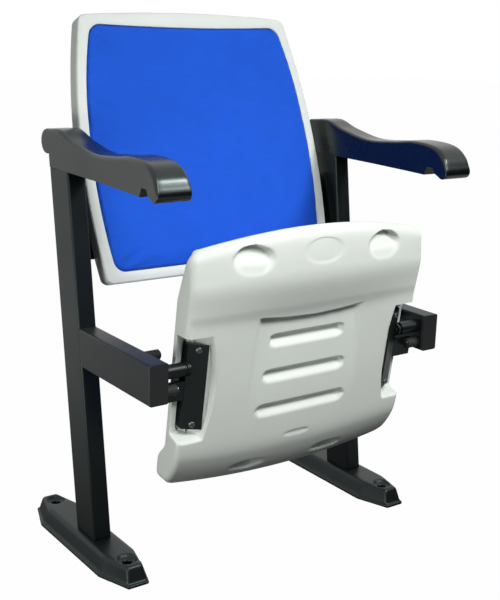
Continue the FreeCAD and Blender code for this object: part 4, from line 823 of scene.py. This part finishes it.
def pocketed(seat, x, u, v):
    """Sink the bracket pockets: a land that slopes up under the flange, a slit for the wing, a low wall
    outside it. The inner side is bowed, the front end upright, the rear end bevelled."""
    side = np.abs(x)
    middle = (seat.pocket_front - seat.pocket_rear) / 2
    reach = (seat.pocket_front + seat.pocket_rear) / 2
    inner = seat.pocket_inner - seat.pocket_bow * (1 - ((u - middle) / reach) ** 2)
    share = np.clip((side - seat.pocket_inner) / (seat.slit_inner - seat.pocket_inner), 0, 1)
    land = (seat.pocket_floor + seat.pocket_wall) * np.sin(share * math.pi / 2) - seat.pocket_floor
    bend = 0.4 * MM
    slit = smooth(seat.slit_inner - bend, seat.slit_inner, side)
    slit = slit * (1 - smooth(seat.slit_outer - bend, seat.slit_outer, side))
    slit = slit * smooth(-seat.pocket_rear, 2 * MM - seat.pocket_rear, u)
    land = land + (seat.slit_roof - seat.pocket_wall) * slit * (side > seat.slit_inner - 1 * MM)
    share = smooth(inner - 2.5 * MM, inner + 1 * MM, side)
    share = share * smooth(-seat.pocket_rear - seat.pocket_bevel, -seat.pocket_rear, u)
    share = share * (1 - smooth(seat.pocket_front - 1 * MM, seat.pocket_front + 1 * MM, u))
    return v + (np.maximum(land, v) - v) * share


def seat_underside(seat):
    """Grid of (x, u, v) over the seat's plan. The middle profile is carried across: its ends follow the
    bowed front and rear edges, its sides turn up round the flanks and with the crown of panel and lip,
    and hollows and bracket pockets are pressed in."""
    profile = seat_profile(seat)
    v_mid, u_mid = profile[:, :1], profile[:, 1:]
    hinge = 60 * MM
    lip_start, lip_full, lip_end = 40 * MM, 130 * MM, 150 * MM
    ahead = np.maximum(u_mid - seat.step_at, 0) / (seat.front - seat.step_at)
    behind = np.maximum(-u_mid - hinge, 0) / (seat.rear - hinge)
    to_front = (1 - ahead) * (seat.front_corner - seat.step_at)
    to_rear = (1 - behind) * (seat.rear_corner - hinge)
    half = seat.half_rear + (seat.half_front - seat.half_rear) * smooth(-seat.rear, seat.front, u_mid)
    radius = seat.flank
    for room, corner in ((to_front, seat.front_round), (to_rear, seat.corner)):
        gap = np.clip(room, 0, corner)
        half = half - corner + np.sqrt(corner ** 2 - (corner - gap) ** 2)
        radius = radius * (0.15 + 0.85 * np.sqrt(gap / corner))
    bend = quarter(10)
    edges = [seat.pocket_inner - 5 * MM, seat.slit_inner, seat.thumb_offset - seat.thumb_half + 5 * MM,
             seat.thumb_offset + seat.thumb_half - 5 * MM]
    reach = seat.half_rear - seat.flank
    spread = crowded(0, reach, SEAT_COLUMNS, edges, 6 * MM) / reach
    flat = np.concatenate([-spread[:0:-1], spread])
    x = np.concatenate([
        -(half - radius + radius * bend[:0:-1, 0]), flat * (half - radius),
        half - radius + radius * bend[1:, 0],
    ], axis=1)
    rise = np.concatenate([
        radius * (1 - bend[:0:-1, 1]), flat * 0 * half, radius * (1 - bend[1:, 1])], axis=1)
    front = seat.front_corner + (seat.front - seat.front_corner) * (1 - (x / seat.half_front) ** 2)
    rear = seat.rear_corner + (seat.rear - seat.rear_corner) * (1 - (x / seat.half_rear) ** 2)
    u = np.clip(u_mid, -hinge, seat.step_at) + ahead * (front - seat.step_at) - behind * (rear - hinge)
    crown = seat.panel_crown + (seat.lip_crown - seat.panel_crown) * smooth(lip_start, lip_full, u_mid)
    crown = crown * (1 - 0.15 * smooth(lip_end, seat.front, u_mid)) * (x / seat.half_front) ** 2
    v = v_mid + crown + rise + seat_marks(seat, x, u)
    return x, u, pocketed(seat, x, u, v)


def screw_points(seat, x, slope, u):
    """Raised-head screw in a bracket's flange: shank, bearing face, domed head 1.2 + 1.8 sqrt(1 - (r / 5)
    squared) high in millimetres, with a cross recess. Rows of rings along its axis."""
    turns = np.linspace(0, 2 * math.pi, 48, endpoint=False)
    radius = np.concatenate([[0, 2, 2, 5], np.linspace(5, 0, 24)])[:, None] * MM + 0 * turns
    across, along = radius * np.cos(turns), radius * np.sin(turns)
    dome = 1.2 * MM + 1.8 * MM * np.sqrt(np.clip(1 - (radius / (5 * MM)) ** 2, 0, 1))
    arm = 1 - smooth(0.5 * MM, 0.9 * MM, np.minimum(np.abs(across), np.abs(along)))
    height = dome - 1.5 * MM * arm * (1 - smooth(2.3 * MM, 2.8 * MM, radius))
    height[:4] = np.array([-10, -10, 0, 0])[:, None] * MM
    drop = seat.flange_drop - height * math.cos(slope) + across * math.sin(slope)
    away = across * math.cos(slope) + height * math.sin(slope)
    return from_seat(seat, x + np.sign(x) * away, drop, u + along)


def border(grid):
    """Points round the edge of a grid, in order: rear row, right column, front row, left column."""
    return np.concatenate([grid[0], grid[1:, -1], grid[-1, -2::-1], grid[-2:0:-1, 0]])


def seat_rim(seat, u):
    """Height of the rim along the seat: level beside the pad, up to the rear, down the lip's waterfall."""
    tail_start, tail_end, fall_start = 126 * MM, 160 * MM, 100 * MM
    tail = (seat.rear_rim - seat.rim) * smooth(tail_start, tail_end, -u)
    fall = (seat.rim + seat.lip_edge) * np.clip((u - fall_start) / (seat.front - fall_start), 0, 1) ** 1.1
    return seat.rim + tail - fall


def seat_tray(seat, x, u):
    """Tray outline under each point of the plan's edge: the plan drawn in at its sides and ends."""
    share = 1 - seat.tray_border / seat.half_rear
    return x * share, np.where(u > 0, u * seat.tray_front / seat.front, u * seat.tray_rear / seat.rear)


def seat_shell_patches(seat):
    """The underside grid, and the rings that go up its edge, over the rim and down into the tray."""
    grid = seat_underside(seat)
    x, u, v = (border(part) for part in grid)
    inward = -outward(np.stack([x, u], axis=1))
    radius = 6 * MM
    top = np.maximum(seat_rim(seat, u), v + radius)
    bend = np.minimum(radius, 0.6 * (top - v))
    x_tray, u_tray = seat_tray(seat, x, u)
    rings = [(x, u, v + (top - bend - v) * share) for share in (0, 0.5)]
    rings += [(x + inward[:, 0] * bend * (1 - cosine), u + inward[:, 1] * bend * (1 - cosine),
               top - bend * (1 - sine)) for sine, cosine in quarter(6)]
    x_edge, u_edge = x + inward[:, 0] * bend, u + inward[:, 1] * bend
    rim = seat_rim(seat, u_tray)
    for share in np.linspace(0.15, 1, 7):
        height = seat_rim(seat, u_edge + (u_tray - u_edge) * share)
        height = height + (top - seat_rim(seat, u_edge)) * (1 - share)
        rings.append((x_edge + (x_tray - x_edge) * share, u_edge + (u_tray - u_edge) * share, height))
    rings += [(x_tray, u_tray, rim + (seat.tray_floor - rim) * share) for share in (0.1, 0.9, 1)]
    rings += [(x_tray * share, u_tray * share, seat.tray_floor + 0 * rim) for share in (0.95, 0.6, 0.3, 0)]
    walls = np.stack([from_seat(seat, a, c, b) for a, b, c in rings])
    return [(from_seat(seat, grid[0], grid[2], grid[1]), False), (walls, True)]


# Armrests


def armrest_curves(rest):
    """Side view as (y, z) points, in pairs of runs that face each other: the top from the rear scroll
    over the wave to the nose, and the underside with the small notch behind the nose."""
    nose, base = -rest.nose, rest.base
    rear_turn = 24
    root = (rest.scroll - 26.5 * MM, base + 21 * MM)
    shoulder = (rest.scroll - 21 * MM, rest.crown_rear - 2 * MM)
    top = chain(
        arc(root, (rest.scroll, base + 37 * MM), shoulder, rear_turn),
        flowing([shoulder, (rest.scroll - 59 * MM, rest.crown_rear),
                 (rest.scroll - 101 * MM, rest.dip + 11 * MM), (rest.scroll - 166 * MM, rest.dip),
                 (rest.scroll - 231 * MM, rest.dip + 3.5 * MM),
                 (nose + 85 * MM, rest.crown_front - 0.5 * MM),
                 (nose + 35 * MM, rest.crown_front - 4 * MM),
                 (nose + 10 * MM, rest.crown_front - 18 * MM), (nose, base + 10 * MM)], 160),
        arc((nose, base + 10 * MM), (nose + 1 * MM, base - 1 * MM), (nose + 12 * MM, base - 6 * MM), 12),
    )
    foot = (rest.scroll - 29.2 * MM, base)
    notch = [(nose + 53 * MM, base - rest.droop), (nose + 47 * MM, base + 9 * MM),
             (nose + 33 * MM, base + 9 * MM), (nose + 28 * MM, base + 1 * MM)]
    tip = (nose + 12 * MM, base - 6 * MM)
    steps = lengths(top)
    breaks = [0, steps[rear_turn - 1], steps[rear_turn - 1] + 20 * MM]
    breaks += [float(np.interp(-wanted, -top[rear_turn:, 0], steps[rear_turn:]))
               for wanted in (nose + 50 * MM, nose + 20 * MM)]
    breaks.append(steps[-1])
    under = [np.array([root, root]), np.array([root, foot]), np.array([foot, notch[0]]), np.array(notch),
             np.array([notch[-1], tip])]
    counts = (14, 6, 90, 24, 18)
    upper = [at_length(top, np.linspace(a, b, count)) for a, b, count in zip(breaks, breaks[1:], counts)]
    lower = [evened(run, count) for run, count in zip(under, counts)]
    return chain(*upper), chain(*lower)


def armrest_patches(rest, middle):
    """The side view's closed ring carried across the armrest: flush with the post's left face, flaring
    forwards along a power curve, long edges rounded, the two flanks filled between top and underside."""
    upper, lower = armrest_curves(rest)
    ring = np.concatenate([upper, lower[-2:0:-1]])
    radius = np.concatenate([np.full(len(upper), rest.edge), np.full(len(lower) - 2, rest.foot_edge)])
    rank = np.arange(len(upper))
    ends = smooth(0, 30, rank) * smooth(0, 14, rank[::-1])
    radius[:len(upper)] = rest.foot_edge + (rest.edge - rest.foot_edge) * ends
    inward = -outward(ring)
    flare = np.clip((-ring[:, 0] - rest.flare_from) / (rest.nose - rest.flare_from), 0, 1) ** 1.67
    left = -rest.left_rear - (rest.half_nose - rest.left_rear) * flare
    right = rest.right_rear + (rest.half_nose - rest.right_rear) * flare
    bend = quarter(7)
    across = [(left + radius * (1 - sine), radius * (1 - cosine)) for sine, cosine in bend[::-1]]
    across += [(left + radius + (right - left - 2 * radius) * share, 0 * radius)
               for share in np.linspace(0, 1, 9)[1:-1]]
    across += [(right - radius * (1 - sine), radius * (1 - cosine)) for sine, cosine in bend]
    loops = np.stack([
        np.stack([middle + x, *(ring + inward * inset[:, None]).T], axis=-1) for x, inset in across])
    patches = [(loops, True)]
    count = len(upper)
    for loop in (loops[0], loops[-1]):
        high = loop[:count]
        low = np.concatenate([loop[:1], loop[:count - 1:-1], loop[count - 1:count]])
        fill = [high + (low - high) * share for share in np.linspace(0, 1, 9)]
        patches.append((np.stack(fill), False))
    return patches


# Operators


def settings():
    """The scene's sizes and finishes."""
    return bpy.context.scene.stadium_seat


class STADIUM_OT_feet(bpy.types.Operator):
    """Finish the two pressed feet"""
    bl_idname = "stadium_seat.feet"
    bl_label = "Feet"

    def execute(self, context):
        paint_nodes("satin_powder_coat", on_both_sides("foot"))
        softened(on_both_sides("foot"))
        return {"FINISHED"}


class STADIUM_OT_side_frames(bpy.types.Operator):
    """Finish the posts, seat arms, armrest bars, back brackets and arm end caps"""
    bl_idname = "stadium_seat.side_frames"
    bl_label = "Side Frames"

    def execute(self, context):
        paint_nodes("satin_powder_coat", on_both_sides("post", "arm", "armrest_bar", "back_bracket"))
        paint_nodes("moulded_black_plastic", on_both_sides("arm_end_cap"))
        eased(on_both_sides("post", "arm"), 1.6 * MM)
        return {"FINISHED"}


class STADIUM_OT_armrests(bpy.types.Operator):
    """Make the two moulded armrests"""
    bl_idname = "stadium_seat.armrests"
    bl_label = "Armrests"

    def execute(self, context):
        skin = mottled("cast_polyurethane")
        for side in SIDES:
            low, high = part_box(f"{side}_armrest")
            patches = armrest_patches(settings().armrest, (low.x + high.x) / 2)
            piece = new_piece(f"{side}_armrest_moulding", patches, skin, "frame", 50)
            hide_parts(f"{side}_armrest")
        return {"FINISHED"}


class STADIUM_OT_back_shell(bpy.types.Operator):
    """Make the moulded back shell"""
    bl_idname = "stadium_seat.back_shell"
    bl_label = "Back Shell"

    def execute(self, context):
        skin = mottled("moulded_polyethylene")
        rings = back_shell_rings(settings().back)
        piece = new_piece("back_shell_moulding", [(rings, True)], skin, "frame")
        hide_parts("back_shell")
        return {"FINISHED"}


class STADIUM_OT_back_pad(bpy.types.Operator):
    """Make the upholstered back pad"""
    bl_idname = "stadium_seat.back_pad"
    bl_label = "Back Pad"

    def execute(self, context):
        back = settings().back
        gap = 0.3 * MM
        outline = back_outline(back, back.rim + gap, back.rim_top + gap, -back.pad_sag, back.pad_corner)
        centre = np.array([0, back.height / 2])
        rings = pad_rings(outline, centre, back.board - back.tray + gap, back.pad_proud, back.pad_crown,
                          back.pad_round)
        points = np.stack([from_back(back, ring[:, 0], -height, ring[:, 1]) for ring, height in rings])
        cover = woven_polyester(settings().finish.fabric, back.recline)
        piece = new_piece("back_pad_upholstery", [(points, True)], cover, "frame")
        normal = np.array([0, math.cos(back.recline), -math.sin(back.recline)])
        origin = np.array([0, back.front, back.bottom])
        puffed(piece, lambda points: (points - origin) @ normal > -1 * MM, 2.5 * MM)
        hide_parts("back_pad")
        paint_nodes("birch_plywood", ["back_pad_board"])
        return {"FINISHED"}


class STADIUM_OT_seat_shell(bpy.types.Operator):
    """Make the moulded seat shell"""
    bl_idname = "stadium_seat.seat_shell"
    bl_label = "Seat Shell"

    def execute(self, context):
        skin = mottled("moulded_polyethylene")
        patches = seat_shell_patches(settings().seat)
        piece = new_piece("seat_shell_moulding", patches, skin, "seat", 60)
        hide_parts("seat_shell")
        return {"FINISHED"}


class STADIUM_OT_seat_pad(bpy.types.Operator):
    """Make the upholstered seat pad"""
    bl_idname = "stadium_seat.seat_pad"
    bl_label = "Seat Pad"

    def execute(self, context):
        seat = settings().seat
        x, u = (border(part) for part in seat_underside(seat)[:2])
        plan = np.stack(seat_tray(seat, x, u), axis=1)
        plan = evened(np.concatenate([plan, plan[:1]]), 301)[:-1]
        gap, lift, radius = 0.8 * MM, 0.7 * MM, 10 * MM
        outline = plan - outward(plan) * gap
        centre = np.array([0, (seat.tray_front - seat.tray_rear) / 2])
        base = seat.tray_floor + seat.board + lift
        rings = pad_rings(outline, centre, base, seat.pad_edge, seat.pad_crown, radius)
        points = np.stack([from_seat(seat, ring[:, 0], height, ring[:, 1]) for ring, height in rings])
        cover = woven_polyester(settings().finish.fabric, -seat.tilt)
        piece = new_piece("seat_pad_upholstery", [(points, True)], cover, "seat")
        pivot = np.array(PIVOT)
        upward = np.array([0, math.cos(seat.tilt), math.sin(seat.tilt)])
        puffed(piece, lambda points: (points - pivot) @ upward < seat.rim + 1 * MM, 4 * MM)
        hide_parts("seat_pad")
        paint_nodes("birch_plywood", ["seat_pad_board"])
        return {"FINISHED"}


class STADIUM_OT_hinges(bpy.types.Operator):
    """Finish the seat brackets, stops, barrels, springs and bushes"""
    bl_idname = "stadium_seat.hinges"
    bl_label = "Hinges"

    def execute(self, context):
        paint_nodes("satin_powder_coat", on_both_sides("seat_bracket", "stop_bar", "spring_barrel"))
        paint_nodes("zinc_plate", on_both_sides("pivot_stud", "upright_stop", "use_stop"))
        paint_nodes("spring_wire", on_both_sides("return_spring"))
        paint_nodes("turned_nylon", on_both_sides("pivot_bush"))
        paint_nodes("moulded_rubber", on_both_sides("upright_buffer", "use_buffer"))
        return {"FINISHED"}


class STADIUM_OT_fasteners(bpy.types.Operator):
    """Finish the screws, bolts, washers and nuts"""
    bl_idname = "stadium_seat.fasteners"
    bl_label = "Fasteners"

    def execute(self, context):
        paint_nodes("zinc_plate", ["armrest_screws", "back_bolts", "pivot_washers", "pivot_nuts"])
        seat = settings().seat
        patches = []
        for side in SIDES:
            low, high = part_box(f"{side}_seat_bracket")
            slope = math.atan(seat.flange_rise / (high.x - low.x))
            for u in (seat.screw_front, -seat.screw_rear):
                patches.append((screw_points(seat, (low.x + high.x) / 2 - PIVOT[0], slope, u), True))
        steel = mottled("blackened_steel")
        piece = new_piece("seat_bracket_screw_set", patches, steel, "seat", 35)
        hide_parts("seat_bracket_screws")
        return {"FINISHED"}


def shown_white(tree, shader, share, near, far):
    """Mix a shader with plain white for camera, glossy and transmission rays, by a share. Glossy rays get
    a part of it that grows from near at 0.3 m to far at 1.2 m: a painted shade on the floor round the
    object, seen only in reflections."""
    place = add(tree, "ShaderNodeTexCoord").outputs["Object"]
    away = add(tree, "ShaderNodeVectorMath", {0: place}, operation="LENGTH").outputs["Value"]
    # Painted shade: reflections see the floor darker near the object and lighter further away.
    reach = {"Value": away, "From Min": 0.3, "From Max": 1.2, "To Min": near, "To Max": far}
    gloss = add(tree, "ShaderNodeMapRange", reach).outputs["Result"]
    rays = add(tree, "ShaderNodeLightPath").outputs
    seen = {0: rays["Is Glossy Ray"], 1: gloss, 2: rays["Is Camera Ray"]}
    seen = add(tree, "ShaderNodeMath", seen, operation="MULTIPLY_ADD").outputs["Value"]
    seen = {0: seen, 1: rays["Is Transmission Ray"]}
    seen = add(tree, "ShaderNodeMath", seen, operation="ADD", use_clamp=True).outputs["Value"]
    seen = add(tree, "ShaderNodeMath", {0: seen, 1: share}, operation="MULTIPLY").outputs["Value"]
    kind = "ShaderNodeBackground" if shader.bl_idname == "ShaderNodeBackground" else "ShaderNodeEmission"
    white = add(tree, kind, {"Color": (1, 1, 1, 1), "Strength": 1.0})
    mix = add(tree, "ShaderNodeMixShader", {0: seen, 1: shader.outputs[0], 2: white.outputs[0]})
    return mix.outputs["Shader"]


def sheet(name, corners, material):
    """One flat face of the stage."""
    mesh = bpy.data.meshes.new(name)
    mesh.from_pydata(corners, [], [(0, 1, 2, 3)])
    mesh.materials.append(material)
    face = bpy.data.objects.new(name, mesh)
    bpy.context.scene.collection.objects.link(face)
    return face


def area_light(name, place, target, size, power, spread):
    """A square softbox at a place, aimed at a target, its beam held in to a spread in degrees."""
    light = bpy.data.lights.new(name, "AREA")
    light.shape = "SQUARE"
    light.size = size
    light.energy = power
    light.spread = math.radians(spread)
    lamp = bpy.data.objects.new(name, light)
    lamp.location = place
    lamp.visible_camera = False
    lamp.rotation_euler = (Vector(target) - Vector(place)).to_track_quat("-Z", "Y").to_euler()
    bpy.context.scene.collection.objects.link(lamp)
    return lamp


def photo_camera(stage):
    """The photograph's camera: yaw to the right, pitch down, then a roll about the line of sight."""
    lens = bpy.data.cameras.new("camera")
    lens.lens = stage.focal * lens.sensor_width / IMAGE_HEIGHT
    camera = bpy.data.objects.new("camera", lens)
    ahead = Vector((math.sin(stage.yaw) * math.cos(stage.pitch),
                    math.cos(stage.yaw) * math.cos(stage.pitch), -math.sin(stage.pitch)))
    right = Vector((math.cos(stage.yaw), -math.sin(stage.yaw), 0))
    above = right.cross(ahead)
    across = right * math.cos(stage.roll) + above * math.sin(stage.roll)
    above = above * math.cos(stage.roll) - right * math.sin(stage.roll)
    turned = Matrix((across, above, -ahead)).transposed().to_4x4()
    camera.matrix_world = Matrix.Translation(Vector(stage.camera)) @ turned
    bpy.context.scene.collection.objects.link(camera)
    return camera


class STADIUM_OT_stage(bpy.types.Operator):
    """Set up the floor, lights, world and camera"""
    bl_idname = "stadium_seat.stage"
    bl_label = "Stage"

    def execute(self, context):
        scene = context.scene
        stage = settings().stage
        ground, tree = fresh_material("pale_floor")
        matt = add(tree, "ShaderNodeBsdfDiffuse", {"Color": settings().finish.floor})
        # The floor looks white to the camera; in reflections it is darker near the object, a painted
        # shade.
        add(tree, "ShaderNodeOutputMaterial", {"Surface": shown_white(tree, matt, 0.99, 0.12, 0.75)})
        sheet("floor", FLOOR, ground)
        # Painted dark reflection: a black card that only glossy rays see, darkening what the black parts
        # reflect at the right.
        black, tree = fresh_material("black_card")
        dark = add(tree, "ShaderNodeEmission", {"Strength": 0.0})
        add(tree, "ShaderNodeOutputMaterial", {"Surface": dark.outputs["Emission"]})
        card = sheet("black_card", CARD, black)
        card.visible_camera = False
        card.visible_diffuse = False
        card.visible_shadow = False
        scene.world = bpy.data.worlds.new("studio")
        tree = empty_tree(scene.world)
        around = add(tree, "ShaderNodeBackground", {"Color": (0.93, 0.97, 1, 1), "Strength": stage.world})
        add(tree, "ShaderNodeOutputWorld", {"Surface": shown_white(tree, around, 1.0, 1.0, 1.0)})
        for name, (place, target, size, spread) in LAMPS.items():
            lamp = area_light(name, place, target, size, getattr(stage, name), spread)
            lamp.visible_glossy = name != "behind"
        scene.camera = photo_camera(stage)
        scene.view_settings.view_transform = "Standard"
        return {"FINISHED"}


OPERATORS = (
    STADIUM_OT_feet, STADIUM_OT_side_frames, STADIUM_OT_armrests, STADIUM_OT_back_shell,
    STADIUM_OT_back_pad, STADIUM_OT_seat_shell, STADIUM_OT_seat_pad, STADIUM_OT_hinges,
    STADIUM_OT_fasteners, STADIUM_OT_stage,
)


class STADIUM_PT_panel(bpy.types.Panel):
    """Lists the seat's pieces"""
    bl_idname = "STADIUM_PT_panel"
    bl_label = "Stadium Seat"
    bl_space_type = "VIEW_3D"
    bl_region_type = "UI"
    bl_category = "Stadium Seat"

    def draw(self, context):
        for operator in OPERATORS:
            self.layout.operator(operator.bl_idname)


CLASSES = (BackSizes, SeatSizes, ArmrestSizes, Finishes, StageSizes, StadiumSeat, *OPERATORS,
           STADIUM_PT_panel)


def register():
    for kind in CLASSES:
        bpy.utils.register_class(kind)
    bpy.types.Scene.stadium_seat = PointerProperty(
        name="Stadium seat", description="Sizes, finishes and stage", type=StadiumSeat)


def unregister():
    del bpy.types.Scene.stadium_seat
    for kind in reversed(CLASSES):
        bpy.utils.unregister_class(kind)


def main():
    register()
    for operator in OPERATORS:
        getattr(bpy.ops.stadium_seat, operator.bl_idname.split(".")[1])()


if __name__ == "__main__":
    main()
